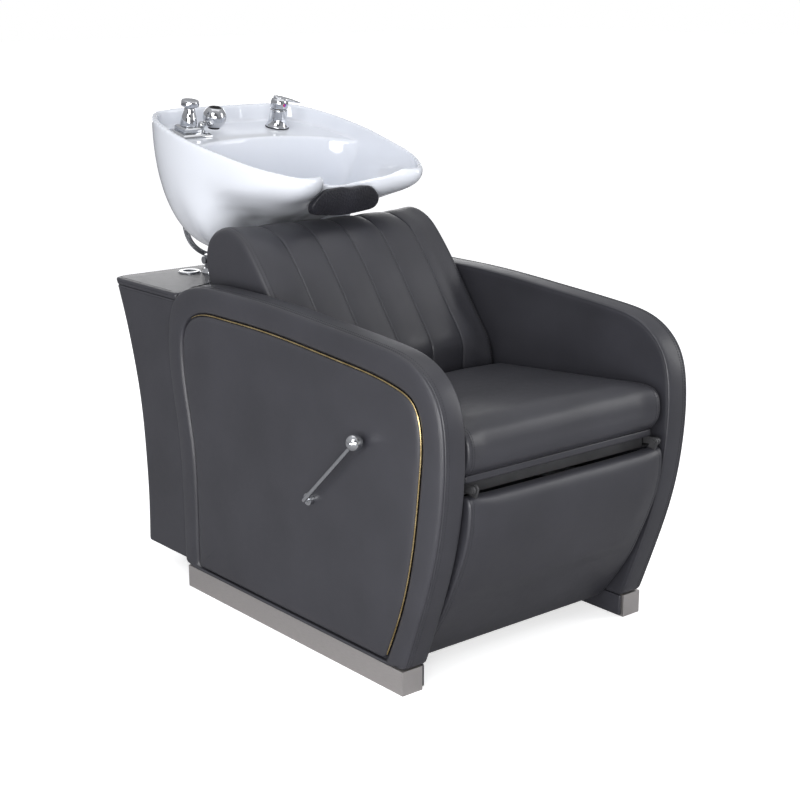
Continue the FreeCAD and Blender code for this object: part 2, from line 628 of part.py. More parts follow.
def bowl_solid(wall, foot_r, foot_z):
    drops = [0.0, 0.1, 0.2, 0.3, 0.4, 0.5, 0.62, 0.75, 0.88, 0.96, 1.0]
    return Part.makeLoft([bowl_section(d, wall, foot_r, foot_z) for d in drops], True, False)


def below_deck(depth):
    """Half space under a plane parallel to the rim."""
    slab = Part.makeBox(800, 900, 600, V(-400, -450, -600))
    slab.rotate(V(0, 0, 0), X_DIR, RIM_ANGLE)
    slab.translate(V(0, RIM_FRONT_Y + 300, rim_z(RIM_FRONT_Y + 300) - depth))
    return slab


def behind_well(margin):
    """Everything behind the oval well's centre line and outside the well and a margin round it."""
    oval = Part.Ellipse(V(0, WELL_Y, 500), WELL_HALF_WIDTH + margin, WELL_REACH + margin).toShape()
    well = Part.Face(Part.Wire(oval)).extrude(V(0, 0, 800))
    return box(-400, 400, WELL_Y + margin, 900, 600, 1200).cut(well)


def make_bowl():
    outer = bowl_solid(0, BOWL_FOOT_R, BOWL_FOOT_Z)
    inner = bowl_solid(BOWL_WALL, BOWL_FOOT_R - 22, BOWL_FOOT_Z + BOWL_FLOOR)
    deck = inner.common(behind_well(0)).common(below_deck(DECK_DEPTH))
    pocket = deck.common(behind_well(DECK_THICK)).common(below_deck(DECK_DEPTH + DECK_THICK))
    bowl = outer.cut(inner.cut(deck)).cut(pocket)
    bowl = bowl.cut(box(-138, 138, WELL_Y + WELL_REACH + DECK_THICK + 12, 900, 795, 905))
    notch = Part.makeCylinder(NECK_NOTCH_R, 220, V(0, 100, NECK_NOTCH_BOTTOM_Z + NECK_NOTCH_R), Y_DIR)
    bowl = bowl.cut(notch)
    bowl = bowl.cut(cylinder_z(0, BOWL_CENTRE_Y, 700, 760, WASTE_HOLE_R))
    holes = ((MIXER_X, MIXER_Y, 17.0), (BREAKER_X, BREAKER_Y, 11.0))
    for x, y, radius in holes:
        bowl = bowl.cut(on_deck(cylinder_z(0, 0, -20, 20, radius), x, y))
    bowl = sorted(bowl.Solids, key=lambda s: s.Volume)[-1]
    export("bowl", bowl)
    return bowl


# Outline of the neck pad seen from the front, and its front and back lines seen from the side.
PAD_OUTLINE = [(0, 893), (46, 893.5), (66, 890), (80, 878), (92, 860), (88, 845), (62, 836), (0, 831)]
PAD_FRONT = [(207, 905), (208, 885), (216, 855), (230, 825)]


def make_neck_rest(bowl):
    half = [V(x, 190, z) for x, z in PAD_OUTLINE]
    other = [V(-point.x, point.y, point.z) for point in half[-2:0:-1]]
    curve = Part.BSplineCurve()
    curve.interpolate(half + other, PeriodicFlag=True)
    pad = Part.Face(Part.Wire(curve.toShape())).extrude(V(0, 90, 0))
    back = [(y + NECK_PAD_THICK, z) for y, z in PAD_FRONT]
    slab = prism(yz_face([PAD_FRONT, back[::-1]], -120), 240)
    pad = pad.common(slab).cut(bowl).removeSplitter()
    export("neck_rest", sorted(pad.Solids, key=lambda s: s.Volume)[-1])


def make_waste():
    strainer = revolved([(0, 1), (24, 1), (30, 3), (30, 5), (0, 5)])
    strainer.translate(V(0, BOWL_CENTRE_Y, BOWL_FOOT_Z + BOWL_FLOOR - 0.9))
    for ring_r, count in ((9, 6), (18, 12)):
        for step in range(count):
            angle = 2 * math.pi * step / count
            x = ring_r * math.cos(angle)
            y = BOWL_CENTRE_Y + ring_r * math.sin(angle)
            strainer = strainer.cut(cylinder_z(x, y, 700, 780, 2.5))
    export("waste_strainer", strainer)
    body = revolved([(17, -82), (20, -82), (20, -22), (33, -22), (33, -8), (WASTE_HOLE_R - 1, -8),
                     (WASTE_HOLE_R - 1, 16), (17, 16)])
    body.translate(V(0, BOWL_CENTRE_Y, BOWL_FOOT_Z))
    export("waste_outlet", body)


def make_carrier():
    """Steel cradle under the foot, with an ear at each side for the tilt pin."""
    plate = box(-108, 108, 478, 604, BOWL_FOOT_Z - 8, BOWL_FOOT_Z)
    plate = plate.cut(cylinder_z(0, BOWL_CENTRE_Y, 700, 730, 34))
    ear = box(102, 108, TILT_Y - 20, TILT_Y + 20, TILT_Z - 14, BOWL_FOOT_Z - 8)
    for side in both_sides(ear):
        plate = plate.fuse(side)
    plate = plate.cut(cylinder_x(-200, 200, TILT_Y, TILT_Z, 5 + RUN_CLEARANCE)).removeSplitter()
    export("bowl_carrier", plate)
    pin = cylinder_x(98, POST_X + POST_R, TILT_Y, TILT_Z, 5)
    pin = pin.fuse(cylinder_x(POST_X + POST_R, POST_X + POST_R + 6, TILT_Y, TILT_Z, 9))
    pin = pin.cut(Part.makeCylinder(POST_R, 60, V(POST_X, TILT_Y, TILT_Z - 30), Z_DIR).cut(
        cylinder_x(0, 200, TILT_Y, TILT_Z, 5)))
    export("tilt_pins", *both_sides(pin.removeSplitter()))


# --- taps ---------------------------------------------------------------------
def make_mixer():
    gasket = revolved([(17, 0.1), (28.5, 0.1), (28.5, 2), (17, 2)])
    export("mixer_gasket", on_deck(gasket, MIXER_X, MIXER_Y))
    pivot = V(0, 0, MIXER_PIVOT_Z)
    body = revolved([(0, 2), (28, 2), (28, 5), (23.5, 12), (21, 22), (21, 44), (0, 44)])
    neck = Part.makeSphere(MIXER_NECK_R, pivot).common(cylinder_z(0, 0, 43, 46, 30))
    body = body.fuse(neck).removeSplitter()
    body = body.cut(cylinder_z(0, 0, 20, 50, 12))
    export("mixer_body", on_deck(body, MIXER_X, MIXER_Y))
    shank = revolved([(0, -34), (9, -34), (9, -12.5), (14, -12.5), (14, 1.9), (0, 1.9)])
    nut = revolved([(9, -24), (26, -24), (26, -12.3), (14, -12.3), (14, -12.5), (9, -12.5)])
    nut = nut.cut(shank)
    export("mixer_fixing", on_deck(shank, MIXER_X, MIXER_Y), on_deck(nut, MIXER_X, MIXER_Y))
    stem = cylinder_z(0, 0, 22, 44.5, 11.9).fuse(box(-5, 5, -5, 5, 44.5, 56)).removeSplitter()
    stem = stem.cut(Part.makeCylinder(MIXER_PIN_R + RUN_CLEARANCE, 20, V(0, -10, MIXER_PIVOT_Z), Y_DIR))
    export("mixer_stem", on_deck(stem, MIXER_X, MIXER_Y))

    dome = revolved([(0, 48), (21.5, 48), (21.5, 61), (19.5, 68), (13, 72.3), (0, 73)])
    blade_side = [(-16.5, 74), (12, 63), (40, 57), (58, 51), (61, 52.5), (58, 55.5), (40, 63.5), (15, 72),
                  (-16.5, 77)]
    blade_plan = [(-16, 5), (-9, 11), (8, 16), (29, 17), (46, 14), (56, 8), (60.5, 2)]
    blade = extruded([V(x, -20, z) for x, z in blade_side], V(0, 40, 0))
    edge = blade_plan + [(x, -y) for x, y in blade_plan[::-1]]
    blade = blade.common(extruded([V(x, y, 40) for x, y in edge], V(0, 0, 50)))
    handle = dome.fuse(blade).cut(Part.makeSphere(MIXER_CAVITY_R, pivot))
    pin = Part.makeCylinder(MIXER_PIN_R, 41.6, V(0, -20.8, MIXER_PIVOT_Z), Y_DIR)
    handle = handle.fuse(pin).removeSplitter()
    dot = Part.makeCylinder(4.0, 1.2, V(0, -20.9, 58), V(0, -1, 0))
    handle = handle.cut(Part.makeCylinder(4.05, 2.0, V(0, -20.8, 58), V(0, -1, 0)))
    dot = dot.common(revolved([(0, 40), (22.4, 40), (22.4, 75), (0, 75)]))
    export("mixer_handle", on_deck(handle, MIXER_X, MIXER_Y))
    export("mixer_index", on_deck(dot, MIXER_X, MIXER_Y))


def bevelled_block(width, depth, z0, z1, bevel):
    block = box(-width / 2, width / 2, -depth / 2, depth / 2, z0, z1)
    top = [e for e in block.Edges if e.BoundBox.ZMin > z1 - 0.01]
    return block.makeChamfer(bevel, top)


def make_breaker(knuckle):
    plate = bevelled_block(80, 68, 0.1, 8, 4.5)
    plate.translate(V(0, -2, 0))
    block = bevelled_block(46, 46, 8, 20, 3)
    block.translate(V(-6, 0, 0))
    plate = plate.fuse(block).removeSplitter()
    socket = cylinder_z(27, -4, 8, 13, 9)
    plate = plate.fuse(socket).removeSplitter()
    export("breaker_plate", on_deck(plate, BREAKER_X, BREAKER_Y), on_deck(knuckle, HOLDER_X, HOLDER_Y))
    body = revolved([(0, 20), (19, 20), (19.5, 26), (17.5, 41), (13.5, 52), (12.5, 66), (0, 66)])
    body.translate(V(-6, 0, 0))
    export("breaker_body", on_deck(body, BREAKER_X, BREAKER_Y))
    cap = revolved([(0, 66), (19, 66), (21, 68.5), (21, 78), (18.5, 81), (0, 82)])
    cap.translate(V(-6, 0, 0))
    export("breaker_cap", on_deck(cap, BREAKER_X, BREAKER_Y))
    tail = revolved([(0, -32), (7, -32), (7, -24), (15, -24), (15, -12.3), (10, -12.3), (10, 0), (0, 0)])
    export("breaker_tail", on_deck(tail, BREAKER_X, BREAKER_Y))


def make_holder():
    base = V(BREAKER_X + 27 - HOLDER_X, BREAKER_Y - 4 - HOLDER_Y, 13)
    knuckle_centre = base + V(0, 0, 8)
    ball_centre = V(0, 0, HOLDER_HEIGHT)
    direction = ball_centre - knuckle_centre
    knuckle = Part.makeSphere(9, knuckle_centre)
    knuckle = knuckle.fuse(Part.makeCylinder(6, 8, base, Z_DIR))
    knuckle = knuckle.cut(Part.makeBox(40, 40, 10, V(base.x - 20, base.y - 20, 3)))
    direction.normalize()
    face_plane = knuckle_centre + direction * 6.5
    cutter = Part.makeCylinder(20, 40, face_plane, direction)
    knuckle = knuckle.cut(cutter).removeSplitter()
    neck = Part.makeCylinder(6.5, 20, face_plane + direction * 0.3, direction)
    ball = Part.makeSphere(HOLDER_R, ball_centre).fuse(neck)
    ball = ball.common(box(-60, 60, -60, 60, HOLDER_HEIGHT - 22.5, HOLDER_HEIGHT + 22.5))
    bore = cylinder_z(0, 0, 0, 90, 14)
    ball = ball.cut(bore).removeSplitter()
    export("holder_ball", on_deck(ball, HOLDER_X, HOLDER_Y))
    insert = cylinder_z(0, 0, HOLDER_HEIGHT - 27, HOLDER_HEIGHT + 23.5, 14)
    insert = insert.cut(cylinder_z(0, 0, 0, 90, 9.5))
    export("holder_insert", on_deck(insert, HOLDER_X, HOLDER_Y))
    return knuckle


# Route of the braided hose, from the vacuum breaker's tail round to the mixer's shank.
HOSE_ROUTE = [(-137, 632.4, 955.6), (-137, 641.3, 911.5), (-126, 662, 868), (-119, 688, 822),
              (-114, 702, 770), (-98, 704, 720), (-58, 704, 688), (-8, 704, 678), (42, 704, 690),
              (82, 703, 724), (104, 700, 772), (113, 684, 822), (115, 662, 868), (115, 649.7, 911.2),
              (115, 640.8, 955.3)]


def rounded_path(points):
    """Straight runs joined by tangent arcs, each as large as its two runs allow."""
    edges = []
    last = points[0]
    for before, corner, after in zip(points, points[1:], points[2:]):
        incoming = corner - before
        outgoing = after - corner
        shorter = min(incoming.Length, outgoing.Length)
        turn = incoming.getAngle(outgoing)
        setback = 0.45 * shorter
        radius = setback / math.tan(turn / 2)
        incoming.normalize()
        outgoing.normalize()
        start = corner - incoming * setback
        end = corner + outgoing * setback
        bisector = outgoing - incoming
        bisector.normalize()
        centre = corner + bisector * (radius / math.cos(turn / 2))
        middle = centre - bisector * radius
        edges.append(Part.LineSegment(last, start).toShape())
        edges.append(Part.Arc(start, middle, end).toShape())
        last = end
    edges.append(Part.LineSegment(last, points[-1]).toShape())
    return Part.Wire(edges)


def make_hose():
    route = [V(*point) for point in HOSE_ROUTE]
    path = rounded_path(route)
    start = route[0]
    profile = Part.Wire(Part.makeCircle(HOSE_R, start, route[1] - start))
    tube = path.makePipeShell([profile], True, False)
    export("braided_hose", tube)
    ferrules = []
    for end, following in ((route[0], route[1]), (route[-1], route[-2])):
        inward = end - following
        inward.normalize()
        ferrule = Part.makeCylinder(HOSE_R + 2, 12, end - inward * 12, inward)
        ferrules.append(ferrule.cut(tube))
    export("hose_ferrules", *ferrules)


def main():
    os.makedirs("parts", exist_ok=True)
    make_base()
    bolts = make_seat_frame()
    make_arms(bolts)
    make_arm_skirts()
    make_seat()
    make_backrest()
    make_cover()
    make_posts()
    link_end = make_legrest()
    make_lever(link_end)
    bowl = make_bowl()
    make_neck_rest(bowl)
    make_waste()
    make_carrier()
    make_mixer()
    knuckle = make_holder()
    make_breaker(knuckle)
    make_hose()


main()
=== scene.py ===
import bmesh
import bpy
import json
import math
import numpy as np
from mathutils import Matrix, Vector
from mathutils.bvhtree import BVHTree
from mathutils.kdtree import KDTree

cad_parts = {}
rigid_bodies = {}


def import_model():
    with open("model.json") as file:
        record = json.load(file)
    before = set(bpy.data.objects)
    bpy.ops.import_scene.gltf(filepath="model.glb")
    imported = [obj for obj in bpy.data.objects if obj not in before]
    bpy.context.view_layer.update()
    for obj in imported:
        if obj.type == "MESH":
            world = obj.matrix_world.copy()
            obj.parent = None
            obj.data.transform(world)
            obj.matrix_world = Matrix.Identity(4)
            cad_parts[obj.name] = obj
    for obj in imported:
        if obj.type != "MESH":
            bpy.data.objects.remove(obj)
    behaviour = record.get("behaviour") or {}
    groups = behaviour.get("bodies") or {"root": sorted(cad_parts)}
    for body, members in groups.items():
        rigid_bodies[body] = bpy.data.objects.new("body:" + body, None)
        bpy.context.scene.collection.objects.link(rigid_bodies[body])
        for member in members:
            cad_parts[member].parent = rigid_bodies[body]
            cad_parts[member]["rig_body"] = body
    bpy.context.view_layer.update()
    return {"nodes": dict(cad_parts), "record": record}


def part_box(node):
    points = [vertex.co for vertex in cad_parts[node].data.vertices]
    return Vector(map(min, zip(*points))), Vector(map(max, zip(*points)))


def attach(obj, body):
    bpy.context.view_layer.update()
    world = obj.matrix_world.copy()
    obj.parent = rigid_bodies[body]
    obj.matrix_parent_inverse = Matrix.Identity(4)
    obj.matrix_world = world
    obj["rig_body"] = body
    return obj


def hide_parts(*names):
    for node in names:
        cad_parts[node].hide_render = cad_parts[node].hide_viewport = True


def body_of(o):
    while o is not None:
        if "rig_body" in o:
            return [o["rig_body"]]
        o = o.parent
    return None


# Shampoo backwash unit: the looks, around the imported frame. Metres, in the row frame:
# X is the width, the sitter faces -Y, +Z is up, and the origin is on the floor.

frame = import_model()
SCENE = bpy.context.scene

# --- places that the pieces share with the frame ---
HALF_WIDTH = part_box("arm_right")[1].x
ARM_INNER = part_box("arm_right")[0].x
PANEL_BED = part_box("side_panel_right")[0].x
SEAT_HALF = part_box("seat_cushion")[1].x
BACK_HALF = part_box("backrest_cushion")[1].x
LEG_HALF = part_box("legrest_panel")[1].x
COVER_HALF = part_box("rear_cover_top")[1].x
COVER_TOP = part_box("rear_cover_top")[1].z
COVER_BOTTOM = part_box("rear_access_panel")[0].z
RAIL_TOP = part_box("base_rail_right")[1].z


def mm(*points):
    """Points given in millimetres, as in the CAD."""
    return [tuple(value / 1000 for value in point) for point in points]


# outlines in (y, z), front bottom first and clockwise seen from +X
ARM_OUTLINE = mm(
    (-380, 50), (-426, 174), (-467, 305), (-486, 425), (-487, 530), (-466, 606), (-406, 657),
    (-310, 677), (-129, 690), (72, 701), (230, 702), (340, 692), (405, 657), (431, 590), (430, 490),
    (407, 365), (396, 240), (394, 140), (394, 50))
INSET_OUTLINE = mm(
    (-324, 54), (-371, 166), (-408, 310), (-426, 450), (-427, 545), (-408, 588), (-360, 609),
    (-191, 629), (73, 645), (230, 646), (320, 636), (364, 606), (379, 550), (366, 438), (345, 330),
    (339, 200), (340, 54))
SEAT_NOSE = mm((-459, 442), (-481, 468), (-485, 505), (-473, 532), (-443, 537.5))
SEAT_REAR_TOP = (0.004, 0.5012)
SEAT_REAR_BOTTOM = (0.004, 0.4095)
BACK_FRONT = mm((9, 472), (22, 545), (56, 595), (143, 710), (195, 771), (241, 809), (290, 825))
BACK_REAR = mm((290, 825), (335, 815), (371, 787), (383, 748), (370, 692))
BACK_BOARD_LINE = mm((360, 668), (150, 470))
LEG_FRONT = mm(
    (-489, 414), (-486, 341), (-474, 295), (-450, 234), (-412, 157), (-358, 78), (-320, 30))
LEG_THICK = 0.042
COVER_BACK = mm((686.5, 667), (655, 590), (621, 488), (598, 393), (584, 270), (579, 160), (582, 55))
HOSE_ROUTE = [
    (-0.137, 0.6324, 0.9556), (-0.137, 0.6413, 0.9115), (-0.126, 0.662, 0.868),
    (-0.119, 0.688, 0.822), (-0.114, 0.702, 0.77), (-0.098, 0.704, 0.72), (-0.058, 0.704, 0.688),
    (-0.008, 0.704, 0.678), (0.042, 0.704, 0.69), (0.082, 0.703, 0.724), (0.104, 0.7, 0.772),
    (0.113, 0.684, 0.822), (0.115, 0.662, 0.868), (0.115, 0.6497, 0.9112), (0.115, 0.6408, 0.9553)]
HOSE_DIAMETER = 0.013

RIM_SLOPE = 0.2027
RIM_FRONT = (0.1485, 0.929)
DECK_DEPTH = 0.0388


# --- camera ---
CAMERA_PLACE = (-2.1377, -2.5399, 1.3341)
CAMERA_PITCH = 75.19
CAMERA_YAW = -39.73
CAMERA_LENS = 71.72


def make_camera():
    data = bpy.data.cameras.new("camera")
    data.lens = CAMERA_LENS
    data.sensor_width = 36
    data.clip_end = 50
    camera = bpy.data.objects.new("camera", data)
    camera.location = CAMERA_PLACE
    camera.rotation_euler = (math.radians(CAMERA_PITCH), 0, math.radians(CAMERA_YAW))
    SCENE.collection.objects.link(camera)
    SCENE.camera = camera


# --- mesh helpers ---
def run_along(line):
    """Distance along a line from its first point to each of its points."""
    return np.concatenate(([0], np.cumsum(np.linalg.norm(np.diff(line, axis=0), axis=1))))


def smooth_curve(points, count):
    """Evenly spaced points on a natural cubic spline through the given ones."""
    p = np.array(points, float)
    t = run_along(p)
    h = np.diff(t)
    matrix = np.eye(len(p))
    right = np.zeros_like(p)
    for i in range(1, len(p) - 1):
        matrix[i, i - 1:i + 2] = h[i - 1], 2 * (h[i - 1] + h[i]), h[i]
        right[i] = 6 * ((p[i + 1] - p[i]) / h[i] - (p[i] - p[i - 1]) / h[i - 1])
    bend = np.linalg.solve(matrix, right)
    u = np.linspace(0, t[-1], 20 * count)
    i = np.clip(np.searchsorted(t, u, side="right") - 1, 0, len(h) - 1)
    a, b, w = (t[i + 1] - u)[:, None], (u - t[i])[:, None], h[i][:, None]
    fine = (bend[i] * a ** 3 + bend[i + 1] * b ** 3) / (6 * w)
    fine += (p[i] / w - bend[i] * w / 6) * a + (p[i + 1] / w - bend[i + 1] * w / 6) * b
    return resampled(fine, count)


def resampled(line, count):
    """The same line with evenly spaced points."""
    line = np.array(line, float)
    return points_at(line, np.linspace(0, run_along(line)[-1], count))


def points_at(line, distances):
    """Points on a line at distances along it."""
    run = run_along(line)
    return np.stack([np.interp(distances, run, line[:, k]) for k in range(line.shape[1])], 1)


def straight(start, end, count):
    """Points between two corners, without the corners themselves."""
    t = np.linspace(0, 1, count + 2)[1:-1, None]
    return np.array(start) * (1 - t) + np.array(end) * t


def inset(loop, distance):
    """A closed clockwise loop of (y, z) moved inwards, with mitred corners."""
    before = loop - np.roll(loop, 1, 0)
    after = np.roll(loop, -1, 0) - loop
    n1 = np.stack([before[:, 1], -before[:, 0]], 1) / np.linalg.norm(before, axis=1)[:, None]
    n2 = np.stack([after[:, 1], -after[:, 0]], 1) / np.linalg.norm(after, axis=1)[:, None]
    share = np.maximum(1 + (n1 * n2).sum(1), 0.5)[:, None]
    return loop + (n1 + n2) / share * distance


def softened(loop, passes):
    """A closed loop whose corners are rounded a little."""
    for _ in range(passes):
        loop = loop * 0.5 + (np.roll(loop, 1, 0) + np.roll(loop, -1, 0)) * 0.25
    return loop


def left_of(line):
    """Unit vectors square to a flat line, on its left."""
    heading = np.gradient(line, axis=0)
    heading /= np.linalg.norm(heading, axis=1)[:, None]
    return np.stack([-heading[:, 1], heading[:, 0]], 1)


def at_x(loop, x):
    return np.column_stack([np.full(len(loop), x), loop])


def at_z(loop, z):
    return np.column_stack([loop, np.full(len(loop), z)])


def circle(count):
    """Evenly spaced angles once round."""
    return [2 * math.pi * k / count for k in range(count)]


def quarter(steps):
    """Evenly spaced angles over a quarter turn, both ends included."""
    return [math.pi / 2 * k / steps for k in range(steps + 1)]


def toward(loop, centre, scale):
    return np.array(centre) + (loop - np.array(centre)) * scale


def linked(name, build):
    """Object from a bmesh, as it is."""
    mesh = bpy.data.meshes.new(name)
    build.to_mesh(mesh)
    build.free()
    piece = bpy.data.objects.new(name, mesh)
    SCENE.collection.objects.link(piece)
    return piece


def new_object(name, build):
    """Object from a bmesh, with outward normals and smooth faces."""
    bmesh.ops.recalc_face_normals(build, faces=build.faces)
    for face in build.faces:
        face.smooth = True
    return linked(name, build)


def loft(name, rings, closed=False):
    """Closed mesh through rings of points. A fan closes each end, unless the rings go round."""
    build = bmesh.new()
    rows = [[build.verts.new(point) for point in ring] for ring in rings]
    count = len(rows[0])
    for first, second in zip(rows, rows[1:] + (rows[:1] if closed else [])):
        for i in range(count):
            j = (i + 1) % count
            build.faces.new((first[i], first[j], second[j], second[i]))
    if not closed:
        for row in (rows[0], rows[-1]):
            middle = build.verts.new(sum((v.co for v in row), Vector()) / count)
            for i in range(count):
                build.faces.new((row[i], row[(i + 1) % count], middle))
    return new_object(name, build)


def lathe(name, profile, steps=48, ring=False):
    """Turned piece from (radius, height) points that run up from axis to axis, or round a ring."""
    turns = [(math.cos(a), math.sin(a)) for a in circle(steps)]
    return loft(name, [[(r * c, r * s, z) for c, s in turns] for r, z in profile], ring)


def tube_rings(line, radius, sides=10):
    """Rings round a line of points in space. The radius is one number, or one for each point."""
    line = np.array(line, float)
    radii = np.broadcast_to(radius, len(line))
    along = np.gradient(line, axis=0)
    along /= np.linalg.norm(along, axis=1)[:, None]
    side = np.cross(along[0], (0.0, 0.0, 1.0) if abs(along[0][2]) < 0.9 else (1.0, 0.0, 0.0))
    rings = []
    for point, direction, r in zip(line, along, radii):
        side = side - direction * (side @ direction)
        side /= np.linalg.norm(side)
        up = np.cross(direction, side)
        rings.append([point + (side * math.cos(a) + up * math.sin(a)) * r for a in circle(sides)])
    return rings


def subdivided(piece, levels=1):
    modifier = piece.modifiers.new("smooth", "SUBSURF")
    modifier.levels = levels
    modifier.render_levels = levels
    return piece


def apply_modifiers(piece):
    """The piece's evaluated shape becomes its own mesh."""
    graph = bpy.context.evaluated_depsgraph_get()
    mesh = bpy.data.meshes.new_from_object(piece.evaluated_get(graph))
    piece.modifiers.clear()
    old = piece.data
    piece.data = mesh
    bpy.data.meshes.remove(old)
    return piece


def join(name, pieces):
    """Several objects as one."""
    build = bmesh.new()
    for piece in pieces:
        mesh = piece.data.copy()
        mesh.transform(piece.matrix_world)
        build.from_mesh(mesh)
        bpy.data.meshes.remove(mesh)
        bpy.data.objects.remove(piece)
    return linked(name, build)


def mirrored_copy(piece, name):
    """The same piece on the other side of the middle plane."""
    build = bmesh.new()
    build.from_mesh(piece.data)
    bmesh.ops.scale(build, vec=(-1, 1, 1), verts=build.verts)
    bmesh.ops.reverse_faces(build, faces=build.faces)
    return linked(name, build)


def from_cad(name, node, merge_flat=False):
    """A CAD node's shape as a new object."""
    build = bmesh.new()
    build.from_mesh(frame["nodes"][node].data)
    bmesh.ops.remove_doubles(build, verts=build.verts, dist=0.00002)
    if merge_flat:
        bmesh.ops.dissolve_limit(build, angle_limit=0.02, verts=build.verts, edges=build.edges)
    return new_object(name, build)


def add_remesh(piece, voxel):
    remesh = piece.modifiers.new("remesh", "REMESH")
    remesh.mode = "VOXEL"
    remesh.voxel_size = voxel


def melted(piece, voxel, passes):
    """The piece as one skin with softly rounded edges."""
    add_remesh(piece, voxel)
    smooth = piece.modifiers.new("smooth", "SMOOTH")
    smooth.factor = 0.5
    smooth.iterations = passes
    apply_modifiers(piece)
    for polygon in piece.data.polygons:
        polygon.use_smooth = True
    return piece


def surface_of(piece):
    """Search tree over the finished faces of a piece."""
    mesh = piece.evaluated_get(bpy.context.evaluated_depsgraph_get()).data
    faces = [tuple(face.vertices) for face in mesh.polygons]
    return BVHTree.FromPolygons(points_of(mesh).tolist(), faces)


def points_of(mesh):
    co = np.zeros(len(mesh.vertices) * 3)
    mesh.vertices.foreach_get("co", co)
    return co.reshape(-1, 3)


def move_points(piece, co):
    piece.data.vertices.foreach_set("co", co.ravel())
    piece.data.update()


def vertex_normals(piece):
    return np.array([v.normal for v in piece.data.vertices])


def dress(piece, body, material):
    piece.data.materials.clear()
    piece.data.materials.append(material)
    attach(piece, body)


# --- materials ---
def add_node(tree, kind, **settings):
    node = tree.nodes.new(kind)
    for name, value in settings.items():
        setattr(node, name, value)
    return node


def add_ramp(tree, value, stops):
    """Colour ramp from (position, colour) stops."""
    node = add_node(tree, "ShaderNodeValToRGB")
    elements = node.color_ramp.elements
    while len(elements) < len(stops):
        elements.new(0.5)
    for element, (position, colour) in zip(elements, stops):
        element.position = position
        element.color = (*colour, 1)
    tree.links.new(value, node.inputs["Fac"])
    return node.outputs["Color"]


class Nodes:
    """A node material with a few short ways to add what repeats."""

    def __init__(self, name, colour, roughness, metallic=0.0):
        self.material = bpy.data.materials.new(name)
        self.material.use_nodes = True
        self.tree = self.material.node_tree
        self.shader = self.tree.nodes["Principled BSDF"]
        self.shader.inputs["Base Color"].default_value = (*colour, 1)
        self.shader.inputs["Roughness"].default_value = roughness
        self.shader.inputs["Metallic"].default_value = metallic
        self.place = self.add("ShaderNodeTexCoord").outputs["Object"]
        self.normal = None

    def add(self, kind, **settings):
        return add_node(self.tree, kind, **settings)

    def link(self, output, target):
        self.tree.links.new(output, target)

    def split(self, vector):
        """The X and Y of a vector."""
        node = self.add("ShaderNodeSeparateXYZ")
        self.link(vector, node.inputs["Vector"])
        return node.outputs["X"], node.outputs["Y"]

    def calculate(self, operation, *values):
        """Maths on numbers and on the outputs of other nodes."""
        node = self.add("ShaderNodeMath", operation=operation)
        for target, value in zip(node.inputs, values):
            if isinstance(value, (int, float)):
                target.default_value = value
            else:
                self.link(value, target)
        return node.outputs[0]

    def noise(self, scale, detail=3.0, stretch=None):
        node = self.add("ShaderNodeTexNoise")
        node.inputs["Scale"].default_value = scale
        node.inputs["Detail"].default_value = detail
        place = self.place
        if stretch:
            mapping = self.add("ShaderNodeMapping")
            mapping.inputs["Scale"].default_value = stretch
            self.link(place, mapping.inputs["Vector"])
            place = mapping.outputs["Vector"]
        self.link(place, node.inputs["Vector"])
        return node.outputs["Fac"]

    def cells(self, scale):
        node = self.add("ShaderNodeTexVoronoi")
        node.inputs["Scale"].default_value = scale
        self.link(self.place, node.inputs["Vector"])
        return node.outputs["Distance"]

    def colour(self, value, stops):
        self.link(add_ramp(self.tree, value, stops), self.shader.inputs["Base Color"])

    def roughness(self, value, low, high):
        node = self.add("ShaderNodeMapRange")
        node.inputs["To Min"].default_value = low
        node.inputs["To Max"].default_value = high
        self.link(value, node.inputs["Value"])
        self.link(node.outputs["Result"], self.shader.inputs["Roughness"])

    def bump(self, height, strength, distance):
        node = self.add("ShaderNodeBump")
        node.inputs["Strength"].default_value = strength
        node.inputs["Distance"].default_value = distance
        self.link(height, node.inputs["Height"])
        if self.normal:
            self.link(self.normal, node.inputs["Normal"])
        self.normal = node.outputs["Normal"]
        self.link(self.normal, self.shader.inputs["Normal"])

    def set(self, **values):
        """Shader inputs by name, such as coat_weight."""
        for name, value in values.items():
            title = name.replace("_", " ").title().replace("Ior", "IOR")
            self.shader.inputs[title].default_value = value


def leather(name, dark, light):
    """Smooth synthetic leather: fine pebble grain, faint pores and slow changes of tone."""
    n = Nodes(name, light, 0.42)
    tone = n.noise(7.0, 4.0)
    n.colour(tone, [(0.3, dark), (0.72, light)])
    n.roughness(n.noise(60.0, 3.0), 0.38, 0.47)
    n.bump(n.cells(950.0), 0.16, 0.0004)
    n.bump(n.noise(420.0, 4.0), 0.10, 0.0004)
    n.bump(n.noise(14.0, 2.0), 0.05, 0.004)
    n.set(specular_ior_level=0.55, coat_weight=0.08, coat_roughness=0.30)
    return n.material


def thread_material():
    n = Nodes("thread", (0.050, 0.050, 0.058), 0.7)
    n.colour(n.noise(900.0, 2.0), [(0.3, (0.012, 0.012, 0.015)), (0.7, (0.028, 0.028, 0.034))])
    n.bump(n.noise(2500.0, 2.0), 0.4, 0.0003)
    return n.material


def ceramic_material():
    n = Nodes("glazed_ceramic", (0.68, 0.72, 0.80), 0.07)
    n.colour(n.noise(3.0, 2.0), [(0.2, (0.755, 0.785, 0.85)), (0.8, (0.795, 0.82, 0.875))])
    n.roughness(n.noise(40.0, 3.0), 0.05, 0.10)
    n.bump(n.noise(18.0, 2.0), 0.02, 0.004)
    n.set(specular_ior_level=0.55, coat_weight=0.5, coat_roughness=0.03)
    return n.material


